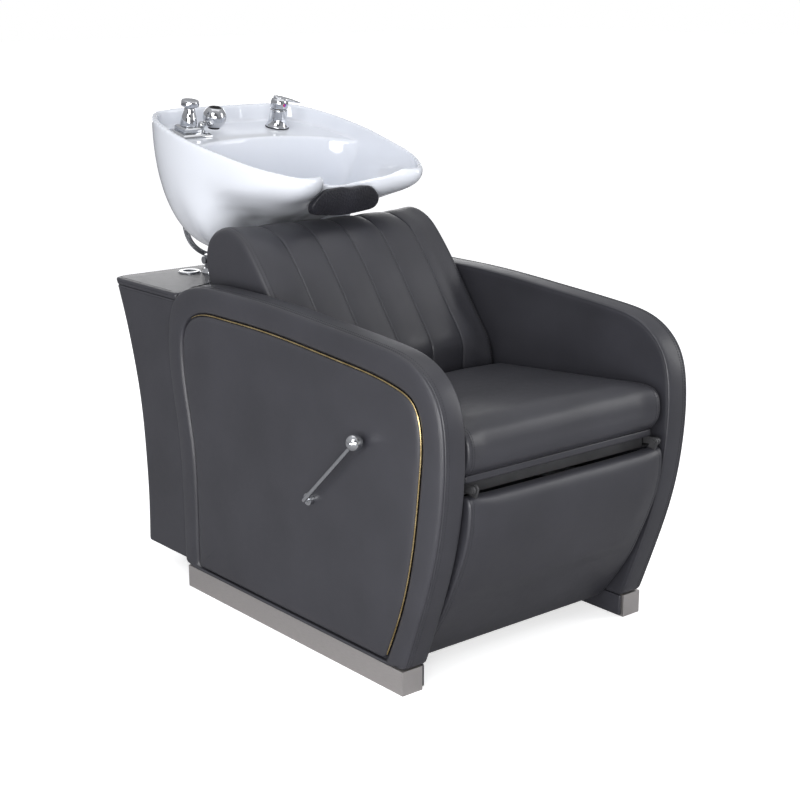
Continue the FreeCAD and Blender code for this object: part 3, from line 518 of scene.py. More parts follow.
def chrome_material():
    n = Nodes("chrome", (0.58, 0.59, 0.61), 0.06, 1.0)
    n.roughness(n.noise(120.0, 3.0), 0.035, 0.09)
    n.colour(n.noise(30.0, 2.0), [(0.2, (0.54, 0.55, 0.57)), (0.8, (0.61, 0.62, 0.64))])
    return n.material


def brushed_steel(name, dark, light, stretch):
    n = Nodes(name, light, 0.34, 0.85)
    lines = n.noise(60.0, 4.0, stretch)
    n.colour(lines, [(0.25, dark), (0.75, light)])
    n.roughness(lines, 0.30, 0.44)
    n.bump(lines, 0.08, 0.0006)
    return n.material


def painted_steel(name, colour, roughness):
    n = Nodes(name, colour, roughness)
    lighter = tuple(min(1, c * 1.35 + 0.01) for c in colour)
    n.colour(n.noise(25.0, 4.0), [(0.3, colour), (0.8, lighter)])
    n.roughness(n.noise(90.0, 3.0), roughness - 0.07, roughness + 0.08)
    n.bump(n.noise(500.0, 3.0), 0.12, 0.0006)
    return n.material


def metal(name, dark, light, low, high):
    n = Nodes(name, light, low, 1.0)
    n.colour(n.noise(35.0, 3.0), [(0.3, dark), (0.7, light)])
    n.roughness(n.noise(150.0, 3.0), low, high)
    n.bump(n.noise(300.0, 2.0), 0.05, 0.0004)
    return n.material


def plywood_material():
    n = Nodes("plywood", (0.52, 0.36, 0.20), 0.65)
    grain = n.noise(9.0, 6.0, (1.0, 14.0, 3.0))
    n.colour(grain, [(0.25, (0.36, 0.23, 0.12)), (0.55, (0.56, 0.40, 0.23)),
                     (0.8, (0.68, 0.52, 0.33))])
    n.roughness(grain, 0.55, 0.75)
    n.bump(grain, 0.2, 0.001)
    return n.material


def rubber(name, colour):
    n = Nodes(name, colour, 0.6)
    n.colour(n.noise(50.0, 3.0), [(0.3, colour), (0.8, tuple(c * 1.6 for c in colour))])
    n.roughness(n.noise(200.0, 2.0), 0.5, 0.68)
    n.bump(n.noise(900.0, 3.0), 0.15, 0.0004)
    return n.material


def gel_material():
    """Soft black neck pad with a fine dimpled face."""
    n = Nodes("gel_pad", (0.012, 0.012, 0.016), 0.42)
    n.colour(n.noise(20.0, 3.0), [(0.3, (0.010, 0.010, 0.014)), (0.8, (0.022, 0.022, 0.030))])
    dimples = n.cells(260.0)
    n.bump(dimples, 0.75, 0.0016)
    n.roughness(dimples, 0.36, 0.55)
    n.set(specular_ior_level=0.5)
    return n.material


BRAID_PITCH = 1500.0
BRAID_STRANDS = 12


def braid_material():
    """Stainless over-braid: two sets of strands that cross, from the cord's own U and V."""
    n = Nodes("hose_braid", (0.35, 0.36, 0.38), 0.32, 0.9)
    along, around = n.split(n.add("ShaderNodeTexCoord").outputs["UV"])
    waves = []
    for sign in (1, -1):
        turn = n.calculate("MULTIPLY", along, BRAID_PITCH)
        lean = n.calculate("MULTIPLY_ADD", around, sign * BRAID_STRANDS * 2 * math.pi, turn)
        waves.append(n.calculate("SINE", lean))
    strands = n.calculate("MAXIMUM", *waves)
    n.colour(strands, [(0.05, (0.02, 0.02, 0.025)), (0.65, (0.42, 0.43, 0.46))])
    n.bump(strands, 0.6, 0.0008)
    return n.material


def index_material():
    """Round index: one half hot red, the other half cold blue."""
    n = Nodes("index", (0.5, 0.02, 0.02), 0.25)
    x, _ = n.split(n.place)
    low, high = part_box("mixer_index")
    side = n.calculate("SUBTRACT", x, (low.x + high.x) / 2 - 0.5)
    n.colour(side, [(0.4995, (0.62, 0.015, 0.02)), (0.5005, (0.02, 0.06, 0.55))])
    n.roughness(n.noise(80.0), 0.2, 0.3)
    return n.material


def floor_material():
    """Pale floor: white to look at, a plain mid grey in the light it throws back on the object."""
    n = Nodes("studio_floor", (0.9, 0.9, 0.9), 0.9)
    seen = n.add("ShaderNodeLightPath").outputs["Is Camera Ray"]
    n.colour(seen, [(0.0, (0.40, 0.40, 0.41)), (1.0, (0.92, 0.92, 0.92))])
    n.set(emission_color=(1, 1, 1, 1))
    n.link(n.calculate("MULTIPLY", seen, 0.6), n.shader.inputs["Emission Strength"])
    return n.material


# the material of each slot in the record
MATERIALS = {
    "upholstery": leather("upholstery", (0.028, 0.028, 0.034), (0.037, 0.037, 0.045)),
    "ceramic": ceramic_material(),
    "chrome": chrome_material(),
    "rail_steel": brushed_steel("rail_steel", (0.50, 0.475, 0.465), (0.63, 0.60, 0.585),
                                (30.0, 1.0, 30.0)),
    "gold_piping": metal("gold_piping", (0.44, 0.32, 0.14), (0.72, 0.56, 0.29), 0.2, 0.34),
    "brass": metal("brass", (0.55, 0.40, 0.17), (0.75, 0.58, 0.28), 0.25, 0.4),
    "frame_steel": painted_steel("frame_steel", (0.030, 0.030, 0.032), 0.45),
    "plate_steel": metal("plate_steel", (0.36, 0.37, 0.39), (0.52, 0.53, 0.55), 0.32, 0.46),
    "plywood": plywood_material(),
    "black_rubber": rubber("black_rubber", (0.012, 0.012, 0.013)),
    "gel_pad": gel_material(),
    "hose_braid": braid_material(),
    "index": index_material(),
}
THREAD = thread_material()
FLOOR = floor_material()


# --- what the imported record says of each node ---
BODIES = frame["record"]["behaviour"]["bodies"]
BODY_OF = {node: body for body, nodes in BODIES.items() for node in nodes}
SLOT_OF = {part["node"]: part["material_slot"] for part in frame["record"]["subparts"]
           if part.get("material_slot")}


def stand_for(piece, node):
    """The piece replaces a CAD node, rides on its body and takes its slot and material."""
    slot = SLOT_OF[node]
    dress(piece, BODY_OF[node], MATERIALS[slot])
    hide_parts(node)


def upholster(piece, node):
    """The piece stands for a CAD node."""
    stand_for(piece, node)


# --- stitching and piping ---
STITCH_PITCH = 0.0056
STITCH_LENGTH = 0.0040
STITCH_RADIUS = 0.00055
STITCH_SIDES = 6
STITCH_SHAPE = [(0.0, 0.35), (0.12, 0.85), (0.5, 1.0), (0.88, 0.85), (1.0, 0.35)]


def stitch_mesh(name, lines, surface):
    """Rows of thread that lie on a surface and follow lines close to it."""
    points, faces = [], []
    for line in lines:
        line = np.array(line, float)
        length = np.linalg.norm(np.diff(line, axis=0), axis=1).sum()
        count = max(2, int(length / STITCH_PITCH))
        found = [surface.find_nearest(Vector(dot))[:2] for dot in resampled(line, count + 1)]
        spots = np.array([spot for spot, _ in found])
        normals = np.array([normal for _, normal in found])
        start, normal = spots[:-1], normals[:-1]
        along = np.diff(spots, axis=0) * (STITCH_LENGTH / STITCH_PITCH)
        across = np.cross(along, normal)
        across /= np.maximum(np.linalg.norm(across, axis=1), 1e-9)[:, None]
        for t, share in STITCH_SHAPE:
            lift = 0.0003 - 0.0004 * (2 * t - 1) ** 2
            middle = start + along * t + normal * lift
            for a in circle(STITCH_SIDES):
                spoke = across * math.cos(a) + normal * math.sin(a)
                points.append(middle + spoke * STITCH_RADIUS * share)
        rows = len(STITCH_SHAPE) * STITCH_SIDES
        first = sum(len(p) for p in points[:-rows])
        for row in range(len(STITCH_SHAPE) - 1):
            for k in range(STITCH_SIDES):
                corners = [row * STITCH_SIDES + side for side in (k, (k + 1) % STITCH_SIDES)]
                corners += [corners[1] + STITCH_SIDES, corners[0] + STITCH_SIDES]
                faces += [[first + c * count + i for c in corners] for i in range(count)]
        for row in (0, len(STITCH_SHAPE) - 1):
            faces += [[first + (row * STITCH_SIDES + k) * count + i for k in range(STITCH_SIDES)]
                      for i in range(count)]
    mesh = bpy.data.meshes.new(name)
    mesh.from_pydata(np.vstack(points).tolist(), [], faces)
    build = bmesh.new()
    build.from_mesh(mesh)
    bpy.data.meshes.remove(mesh)
    return new_object(name, build)


def stitches(name, lines, piece):
    """Stitch rows on a finished piece, riding with it."""
    thread = stitch_mesh(name, lines, surface_of(piece))
    dress(thread, body_of(piece)[0], THREAD)


# --- arms ---
CURVE_POINTS = 120
BOTTOM_POINTS = 26
ARM_CENTRE = (-0.02, 0.36)


def closed_outline(points):
    curve = smooth_curve(points, CURVE_POINTS)
    return np.vstack([curve, straight(curve[-1], curve[0], BOTTOM_POINTS)])


ARM_LOOP = closed_outline(ARM_OUTLINE)
INSET_LOOP = closed_outline(INSET_OUTLINE)
# (share of the way from the edge to the middle, reach beyond the face) of the padded inner side
INNER_PAD = [(0.22, 0.0040), (0.45, 0.0038), (0.68, 0.0032), (0.86, 0.0020)]
# (depth from the outline, x beyond the inner face): pad edge, seam, rounded corner
INNER_EDGE = mm(
    (34, 0.8), (20, 0.1), (11, 0), (6.6, 0.4), (5.2, 1.4), (4, 0.6), (1.8, 1.4), (0.4, 4))
# (x beyond the inner face, depth) across the strap: crown, double-stitched seam, rounded shoulder
STRAP = mm(
    (8, -0.2), (18, -1), (30, -1.2), (40, -0.8), (47.5, 0), (49.6, 0.5), (50.6, 2.6), (51.6, 0.6),
    (53.5, 0.6), (56, 2), (57.8, 4.8), (58.8, 9))
SEAM_X = 0.0506
STITCH_ROWS = (-0.0090, -0.0028)
# (reach outside the inset's edge, x beyond the outer face): border rolling into the groove
GROOVE = mm((11, 0.4), (6, -0.6), (2.8, -2.4), (0.8, -5.2), (0, -10))


PIPING_RADIUS = 0.0019


def arm_rings():
    pad = softened(inset(ARM_LOOP, 0.034), 40)
    rings = [at_x(toward(pad, ARM_CENTRE, s), ARM_INNER - reach) for s, reach in INNER_PAD]
    rings += [at_x(inset(ARM_LOOP, depth), ARM_INNER + x - 0.0001) for depth, x in INNER_EDGE]
    rings += [at_x(inset(ARM_LOOP, depth), ARM_INNER + x) for x, depth in STRAP]
    for share in (0.36, 0.62):
        rings.append(at_x(ARM_LOOP * (1 - share) + INSET_LOOP * share, HALF_WIDTH + 0.0012))
    rings += [at_x(inset(INSET_LOOP, -reach), HALF_WIDTH + x) for reach, x in GROOVE]
    rings.append(at_x(inset(INSET_LOOP, 0.004), PANEL_BED - 0.0006))
    rings += [at_x(toward(INSET_LOOP, ARM_CENTRE, s), PANEL_BED - 0.0006) for s in (0.8, 0.4)]
    for ring in rings:
        ring[:, 2] = np.maximum(ring[:, 2], RAIL_TOP + 0.0002)
    return rings


def panel_rings():
    """Inset side panel: straight wall, softly rolled edge and a low crown."""
    edge = mm((4.8, -11.2), (4.6, -6), (5.2, -3.6), (7.2, -1.8), (11, -0.4), (18, 0.8), (30, 1.5))
    bed = inset(INSET_LOOP, 0.0048)
    rings = [at_x(toward(bed, ARM_CENTRE, s), PANEL_BED + 0.0006) for s in (0.4, 0.8)]
    rings += [at_x(inset(INSET_LOOP, depth), HALF_WIDTH + x) for depth, x in edge]
    pad = softened(inset(INSET_LOOP, 0.030), 40)
    for scale, reach in ((0.88, 0.0021), (0.68, 0.0027), (0.45, 0.0031), (0.2, 0.0033)):
        rings.append(at_x(toward(pad, ARM_CENTRE, scale), HALF_WIDTH + reach))
    return rings


def flipped(line):
    return np.array(line) * (-1, 1, 1)


def make_arms():
    arm = subdivided(loft("arm_right_cover", arm_rings()))
    panel = subdivided(loft("side_panel_right_pad", panel_rings()))
    curve = at_x(ARM_LOOP[:CURVE_POINTS], ARM_INNER + SEAM_X)
    rows = [curve + (offset, 0, 0) for offset in STITCH_ROWS]
    piping_line = at_x(inset(INSET_LOOP, 0.0022)[:CURVE_POINTS], HALF_WIDTH - 0.0024)
    piping_line = piping_line[(piping_line[:, 1] < 0.338) & (piping_line[:, 2] > 0.060)]
    piping_line = piping_line[: np.argmax(piping_line[:, 1]) + 1]
    radii = np.full(len(piping_line), PIPING_RADIUS)
    radii[-6:] = np.linspace(PIPING_RADIUS, 0.0006, 6)
    piping = subdivided(loft("piping_right_bead", tube_rings(piping_line, radii, 8)))
    for side, flip in (("right", False), ("left", True)):
        pieces = (arm, panel, piping)
        if flip:
            pieces = [mirrored_copy(p, p.name.replace("right", "left")) for p in pieces]
            pieces = [subdivided(p) for p in pieces]
        upholster(pieces[0], "arm_" + side)
        upholster(pieces[1], "side_panel_" + side)
        stand_for(pieces[2], "piping_" + side)
        stitches("arm_%s_stitching" % side, [flipped(r) for r in rows] if flip else rows, pieces[0])


# --- cushions ---
def side_profile(half, edge, steps=5):
    """(x, inset) across a rounded side, from just inside it out to the flat face."""
    return [(half - edge + edge * math.sin(a), edge * (1 - math.cos(a))) for a in quarter(steps)]


def cushion_rings(loop, half, edge, seams, centre, step=0.011):
    """Rings of a cushion across X, closer together at its seams and rounded sides."""
    xs = set(np.linspace(0, half - edge, int((half - edge) / step)).round(5))
    for seam in seams:
        xs = {x for x in xs if abs(x - abs(seam)) > 0.0062}
        xs |= {round(abs(seam) + d, 5) for d in (-0.006, -0.003, -0.0013, 0, 0.0013, 0.003, 0.006)}
    xs = {abs(x) for x in xs if x < half - edge - 0.0004}
    right = [(x, 0.0) for x in sorted(xs)] + side_profile(half, edge)
    rings = [at_x(inset(loop, depth), x) for x, depth in right]
    face = inset(loop, edge)
    for scale in (0.93, 0.75, 0.5, 0.25):
        rings.append(at_x(toward(face, centre, scale), half + 0.0015 * (1 - scale)))
    left = [ring * (-1, 1, 1) for ring in rings[::-1] if ring[0][0] > 0.00001]
    return left + rings


CLOTH_VOXEL = 0.006
CLOTH_FRAMES = 20
CLOTH_SHRINK = 0.003


def swelling(piece, pressure, cap):
    """How far each of the piece's points moves as its cover is blown up by cloth simulation."""
    rest = points_of(piece.data)
    pad = bpy.data.objects.new("swelling_pad", piece.data.copy())
    SCENE.collection.objects.link(pad)
    move_points(pad, rest - vertex_normals(piece) * CLOTH_SHRINK)
    add_remesh(pad, CLOTH_VOXEL)
    apply_modifiers(pad)
    start = points_of(pad.data)
    cloth = pad.modifiers.new("cloth", "CLOTH")
    cloth.settings.use_pressure = True
    cloth.settings.uniform_pressure_force = pressure
    cloth.settings.effector_weights.gravity = 0
    cloth.settings.quality = 5
    for number in range(1, CLOTH_FRAMES + 1):
        SCENE.frame_set(number)
    apply_modifiers(pad)
    moved = points_of(pad.data) - start
    SCENE.frame_set(1)
    reach = np.linalg.norm(moved, axis=1)[:, None]
    moved *= np.minimum(1, cap / np.maximum(reach, 1e-9))
    tree = KDTree(len(start))
    for index, point in enumerate(start):
        tree.insert(point, index)
    tree.balance()
    result = np.zeros_like(rest)
    for index, point in enumerate(rest):
        near = tree.find_n(point, 6)
        weights = np.array([1 / (distance + 0.002) for _, _, distance in near])
        result[index] = (moved[[i for _, i, _ in near]] * weights[:, None]).sum(0) / weights.sum()
    bpy.data.objects.remove(pad)
    return result


def smoothed_field(piece, field, passes):
    """A value at each vertex, averaged over its neighbours again and again."""
    edges = np.array([e.vertices[:] for e in piece.data.edges])
    count = np.bincount(edges.ravel(), minlength=len(field))[:, None]
    here, there = edges.ravel(), edges[:, ::-1].ravel()
    for _ in range(passes):
        total = np.stack([np.bincount(here, field[there, k], len(field)) for k in range(3)], 1)
        field = 0.5 * field + 0.5 * total / count
    return field


def swell(piece, pressure, cap, share):
    """Blow a cushion up by cloth. share gives how much of the movement each point keeps."""
    field = smoothed_field(piece, swelling(piece, pressure, cap), 12)
    rest = points_of(piece.data)
    move_points(piece, rest + field * share(rest)[:, None])


def carve(piece, depth_at):
    """Move each point inwards along its normal, by a depth that depends on where it is."""
    rest = points_of(piece.data)
    move_points(piece, rest - vertex_normals(piece) * depth_at(rest)[:, None])


def groove(distance, depth, width):
    """Depth of a sewn line at a distance from it: a sharp line in a wider soft valley."""
    line, valley = (np.exp(-(distance / w) ** 2) for w in (width, 3.5 * width))
    return depth * (0.6 * line + 0.4 * valley)


def fade(value, low, high):
    t = np.clip((value - low) / (high - low), 0, 1)
    return t * t * (3 - 2 * t)


def make_wrapped_board(name, node, edge):
    """Thin board wrapped in the cover material: the CAD shape with soft edges."""
    piece = from_cad(name, node, merge_flat=True)
    modifier = piece.modifiers.new("edges", "BEVEL")
    modifier.width = edge
    modifier.segments = 4
    modifier.angle_limit = math.radians(35)
    apply_modifiers(piece)
    upholster(piece, node)


SEAT_EDGE = 0.011
SEAT_CENTRE = (-0.23, 0.480)


def make_seat():
    nose = smooth_curve(SEAT_NOSE, 26)
    top = straight(nose[-1], SEAT_REAR_TOP, 44)
    rear = straight(SEAT_REAR_TOP, SEAT_REAR_BOTTOM, 8)
    bottom = straight(SEAT_REAR_BOTTOM, nose[0], 40)
    loop = softened(np.vstack([nose, top, [SEAT_REAR_TOP], rear, [SEAT_REAR_BOTTOM], bottom]), 6)
    seam = SEAT_HALF - 0.009
    rings = cushion_rings(loop, SEAT_HALF - 0.001, SEAT_EDGE, (), SEAT_CENTRE)
    seat = loft("seat_cushion_cover", rings)

    def share(p):
        upper = fade(p[:, 2], 0.452, 0.500)
        return 0.15 + 0.85 * upper * fade(SEAT_HALF - np.abs(p[:, 0]), -0.01, 0.05)

    def seams(p):
        return groove(np.abs(p[:, 0]) - seam, 0.0026, 0.0012) * fade(p[:, 2], 0.44, 0.46)
    swell(seat, 4.0, 0.012, share)
    carve(seat, seams)
    upholster(subdivided(seat), "seat_cushion")
    upper = np.vstack([nose, top])
    rows = [at_x(upper, side * (seam - d)) for side in (-1, 1) for d in (0.0030, 0.0095)]
    stitches("seat_stitching", rows, seat)


CHANNELS = (-0.175, -0.0875, 0.0, 0.0875, 0.175)
BACK_EDGE = 0.015
BACK_CENTRE = (0.20, 0.62)


def make_backrest():
    front = smooth_curve(BACK_FRONT, 60)
    rear = smooth_curve(BACK_REAR, 26)
    board_top = straight(rear[-1], BACK_BOARD_LINE[0], 2)
    board = straight(*BACK_BOARD_LINE, 24)
    bottom = straight(BACK_BOARD_LINE[1], front[0], 14)
    loop = softened(np.vstack([front, rear[1:], board_top, BACK_BOARD_LINE[:1], board,
                               BACK_BOARD_LINE[1:], bottom]), 6)
    seam = BACK_HALF - 0.010
    rings = cushion_rings(loop, BACK_HALF - 0.001, BACK_EDGE, CHANNELS, BACK_CENTRE)
    back = loft("backrest_cover", rings)

    def face(p):
        """1 on the front and over the rolled top, 0 on the board and underneath."""
        ahead = (p[:, 1] - 0.150) * 0.686 - (p[:, 2] - 0.470) * 0.727
        return fade(-ahead, 0.020, 0.060)

    def share(p):
        return 0.10 + 0.90 * face(p) * fade(BACK_HALF - np.abs(p[:, 0]), -0.01, 0.05)

    def channels(p):
        distance = np.abs(p[:, 0, None] - np.array(CHANNELS)).min(1)
        side = np.abs(np.abs(p[:, 0]) - seam)
        low = 1 - fade(p[:, 2], 0.50, 0.60)
        puff = 0.0022 * (1 + 1.2 * low) * (1 - fade(distance, 0.0, 0.030))
        return face(p) * (groove(distance, 0.0030, 0.0013) + puff + groove(side, 0.0034, 0.0013))
    swell(back, 4.0, 0.009, share)
    carve(back, channels)
    upholster(subdivided(back), "backrest_cushion")
    upper = np.vstack([front, rear[1:]])
    rows = [at_x(upper, side * (seam + d)) for side in (-1, 1) for d in (0.0038, -0.0038)]
    stitches("backrest_stitching", rows, back)


LEG_EDGE = 0.0075
LEG_CENTRE = (-0.435, 0.215)
LEG_SLOT_X = 0.241
LEG_SLOT_HALF = 0.009


def make_legrest():
    front = smooth_curve(LEG_FRONT, 70)
    rear = (front + left_of(front) * LEG_THICK)[::-1]
    low_end, high_end = straight(front[-1], rear[0], 6), straight(rear[-1], front[0], 6)
    loop = softened(np.vstack([front, low_end, rear, high_end])[::-1], 12)
    seam = LEG_HALF - 0.0085
    rings = cushion_rings(loop, LEG_HALF - 0.001, LEG_EDGE, (), LEG_CENTRE)
    pad = loft("legrest_cover", rings)

    def face(p):
        """1 on the front, 0 on the back."""
        return fade(-(p[:, 1] + 0.42 + (p[:, 2] - 0.215) * -0.42), -0.02, 0.02)

    def share(p):
        return 0.05 + 0.95 * face(p) * fade(LEG_HALF - np.abs(p[:, 0]), -0.01, 0.06)

    def seams(p):
        return groove(np.abs(p[:, 0]) - seam, 0.0028, 0.0012) * face(p)
    swell(pad, 3.0, 0.006, share)
    carve(pad, seams)
    slots = [block("cutter", (x - LEG_SLOT_HALF, -0.468, 0.293), (x + LEG_SLOT_HALF, -0.3, 0.421))
             for x in (-LEG_SLOT_X, LEG_SLOT_X)]
    cut_with(subdivided(pad), slots)
    pad.data.set_sharp_from_angle(angle=math.radians(50))
    upholster(pad, "legrest_panel")
    rows = [at_x(front, side * (seam - d)) for side in (-1, 1) for d in (-0.0030, 0.0040)]
    stitches("legrest_stitching", rows, pad)


# --- rear plumbing cover ---
WALL = 0.014
CORNER = 0.022
PANEL_HALF = COVER_HALF - CORNER
LID_BOTTOM = COVER_TOP - WALL
ARM_GAP = 0.003
LEVELS = 40
BACK_LINE = smooth_curve(COVER_BACK, 200)[::-1]


def back_y(z):
    return float(np.interp(z, BACK_LINE[:, 1], BACK_LINE[:, 0]))


def front_y(z):
    """Front edge of the cover's side, just behind the arm."""
    part = ARM_LOOP[CURVE_POINTS // 2:CURVE_POINTS][::-1]
    part = part[part[:, 1] < part[:, 1].max() - 0.012]
    return max(0.394, float(np.interp(z, part[:, 1], part[:, 0]))) + ARM_GAP


def corner_arc(rear, steps):
    """Rounded rear corner in plan, from the side to the back."""
    return [(PANEL_HALF + CORNER * math.cos(a), rear - CORNER + CORNER * math.sin(a))
            for a in quarter(steps)]


def plan_side(z, x_end):
    """Outer line in plan from the side's front edge round the rear corner to x_end on the back."""
    rear = back_y(z)
    line = [(COVER_HALF, y) for y in np.linspace(front_y(z), rear - CORNER, 12)]
    line += corner_arc(rear, 6)[1:]
    if x_end < PANEL_HALF:
        line += [(x, rear) for x in np.linspace(PANEL_HALF, x_end, 3)[1:]]
    return np.array(line)


def plan_back(z, half):
    rear = back_y(z)
    return np.array([(x, rear) for x in np.linspace(half, -half, 40)])


def wall_ring(outer, z, thickness, edge):
    """Closed plan loop of a padded board: its outer line, its round edges and its inner line."""
    inward = left_of(outer)
    run = run_along(outer)
    from_end = np.minimum(run, run[-1] - run)
    round_over = edge * (1 - np.sqrt(1 - (1 - np.clip(from_end / edge, 0, 1)) ** 2))
    front = outer + inward * round_over[:, None]
    rear = (outer + inward * thickness)[::-1]
    return at_z(np.vstack([front, rear]), z)


def dense_ends(line, edge):
    """The same line with extra points close to its two ends."""
    end = run_along(line)[-1]
    extra = [edge * s for s in (0.12, 0.35, 0.65, 1.0)]
    inner = np.linspace(edge * 1.8, end - edge * 1.8, 46)
    return points_at(line, [0, *extra, *inner, *(end - e for e in extra[::-1]), end])


def board_wall(name, plan):
    """Upright padded board from the cover's bottom to its lid, with soft upper and lower edges."""
    edge = 0.004
    heights = np.linspace(COVER_BOTTOM + 0.012, LID_BOTTOM - 0.012, LEVELS)
    rings = []
    low = [(COVER_BOTTOM + edge * (1 - math.cos(a)), edge * (1 - math.sin(a)))
           for a in (0.0, 0.5, 1.0, 1.57)]
    high = [(LID_BOTTOM - 0.001 - (z - COVER_BOTTOM), d) for z, d in low[::-1]]
    for z, depth in low + [(h, 0.0) for h in heights] + high:
        outer = dense_ends(plan(z), edge)
        ring = wall_ring(outer, z, WALL, edge)
        if depth:
            middle = (ring[:len(ring) // 2] + ring[len(ring) // 2:][::-1]) / 2
            pull = np.vstack([middle, middle[::-1]]) - ring
            reach = np.linalg.norm(pull, axis=1)[:, None]
            ring = ring + pull / np.maximum(reach, 1e-9) * np.minimum(depth, reach)
        rings.append(ring)
    return subdivided(loft(name, rings))


def lid_outline():
    """Plan loop of the lid, clockwise seen from above, with rounded rear corners."""
    rear = back_y(COVER_TOP)
    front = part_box("rear_cover_top")[0].y + 0.001
    arm_back = front_y(COVER_TOP - 0.02)
    line = [(ARM_INNER - ARM_GAP, front), (ARM_INNER - ARM_GAP, arm_back), (COVER_HALF, arm_back)]
    line += corner_arc(rear, 8)
    line += [(-x, y) for x, y in line[::-1]]
    loop = resampled(line + [line[0]], 400)[:-1]
    return softened(loop, 4)[::-1]


def cut_with(piece, cutters):
    """Take solid cutters out of a finished piece."""
    for cutter in cutters:
        modifier = piece.modifiers.new("cut", "BOOLEAN")
        modifier.operation = "DIFFERENCE"
        modifier.solver = "MANIFOLD"
        modifier.object = cutter
        apply_modifiers(piece)
        bpy.data.objects.remove(cutter)
    return piece


def upright_cutter(x, y, radius, low, high):
    return loft("cutter", [[(x + radius * math.cos(a), y + radius * math.sin(a), z)
                            for a in circle(48)] for z in (low, high)])


def block(name, low, high):
    """Plain closed box between two corners."""
    x0, y0, z0 = low
    x1, y1, z1 = high
    return loft(name, [[(x0, y0, z), (x1, y0, z), (x1, y1, z), (x0, y1, z)] for z in (z0, z1)])


LID_CENTRE = (0.0, 0.54)
LID_EDGE = 0.0045
PORT_CUT = 0.021
POST_CUT = 0.013
COLLAR_RADIUS = 0.019


def make_lid():
    plan = lid_outline()
    field = inset(plan, 0.02)
    rings = [at_z(toward(field, LID_CENTRE, s), LID_BOTTOM) for s in (0.5, 0.85)]
    rings.append(at_z(inset(plan, 0.002), LID_BOTTOM))
    for a in quarter(4):
        height = COVER_TOP - LID_EDGE + LID_EDGE * math.sin(a)
        rings.append(at_z(inset(plan, LID_EDGE * (1 - math.cos(a))), height))
    rings.append(at_z(inset(plan, 0.009), COVER_TOP + 0.0003))
    rings += [at_z(toward(field, LID_CENTRE, s), COVER_TOP + 0.0006) for s in (0.85, 0.5)]
    lid = loft("rear_cover_lid", rings)
    port = sum(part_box("hose_port_ring"), Vector()) / 2
    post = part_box("post_collars")
    post_y = (post[0].y + post[1].y) / 2
    post_x = post[1].x - COLLAR_RADIUS
    cutters = [upright_cutter(port.x, port.y, PORT_CUT, 0.6, 0.7)]
    cutters += [upright_cutter(x, post_y, POST_CUT, 0.6, 0.7) for x in (-post_x, post_x)]
    cutters.append(block("cutter", (-0.04, 0.48, 0.6), (0.04, 0.592, 0.7)))
    cut_with(lid, cutters)
    lid.data.set_sharp_from_angle(angle=math.radians(50))
    upholster(lid, "rear_cover_top")
    stitch_lid(plan, lid)


def stitch_lid(plan, lid):
    """Two rows of stitches along the lid's sides and rear, one on its edge and one on its top."""
    line = at_z(plan, COVER_TOP - 0.0068)
    line = line[(np.abs(line[:, 0]) > PANEL_HALF - 0.001) | (line[:, 1] > 0.6)]
    line = line[line[:, 1] > 0.44]
    gaps = np.linalg.norm(np.diff(np.vstack([line, line[:1]]), axis=0), axis=1)
    outer = np.roll(line, -int(np.argmax(gaps)) - 1, 0)
    inner = at_z(toward(outer[:, :2], LID_CENTRE, 0.968), COVER_TOP + 0.002)
    stitches("lid_stitching", [outer, inner], lid)


def make_cover():
    right = board_wall("rear_cover_right_board", lambda z: plan_side(z, PANEL_HALF + 0.0008))
    left = subdivided(mirrored_copy(right, "rear_cover_left_board"))
    back = board_wall("rear_access_board", lambda z: plan_back(z, PANEL_HALF - 0.0006))
    upholster(right, "rear_cover_right")
    upholster(left, "rear_cover_left")
    upholster(back, "rear_access_panel")
    z = LID_BOTTOM - 0.006
    row = at_z(plan_side(z, PANEL_HALF + 0.002), z)
    stitches("cover_right_stitching", [row], right)
    stitches("cover_left_stitching", [flipped(row)], left)
    stitches("cover_back_stitching", [at_z(plan_back(z, PANEL_HALF - 0.004), z)], back)
    make_lid()


# --- basin ---
def make_bowl():
    bowl = melted(from_cad("basin_bowl", "bowl"), 0.0030, 14)
    stand_for(bowl, "bowl")
    pad = melted(from_cad("neck_rest_pad", "neck_rest"), 0.0014, 22)
    stand_for(pad, "neck_rest")


def on_deck(piece, x, y):
    """Move a piece built about the origin so that it stands square on the tap deck."""
    z = RIM_FRONT[1] + RIM_SLOPE * (y - RIM_FRONT[0]) - DECK_DEPTH
    place = Matrix.Translation((x, y, z)) @ Matrix.Rotation(math.atan(RIM_SLOPE), 4, "X")
    piece.data.transform(place)
    return piece


MIXER = (0.115, 0.634)
BREAKER = (-0.137, 0.626)
HOLDER = (-0.077, 0.620)
HOLDER_HEIGHT = 0.039
HOLDER_RADIUS = 0.0275


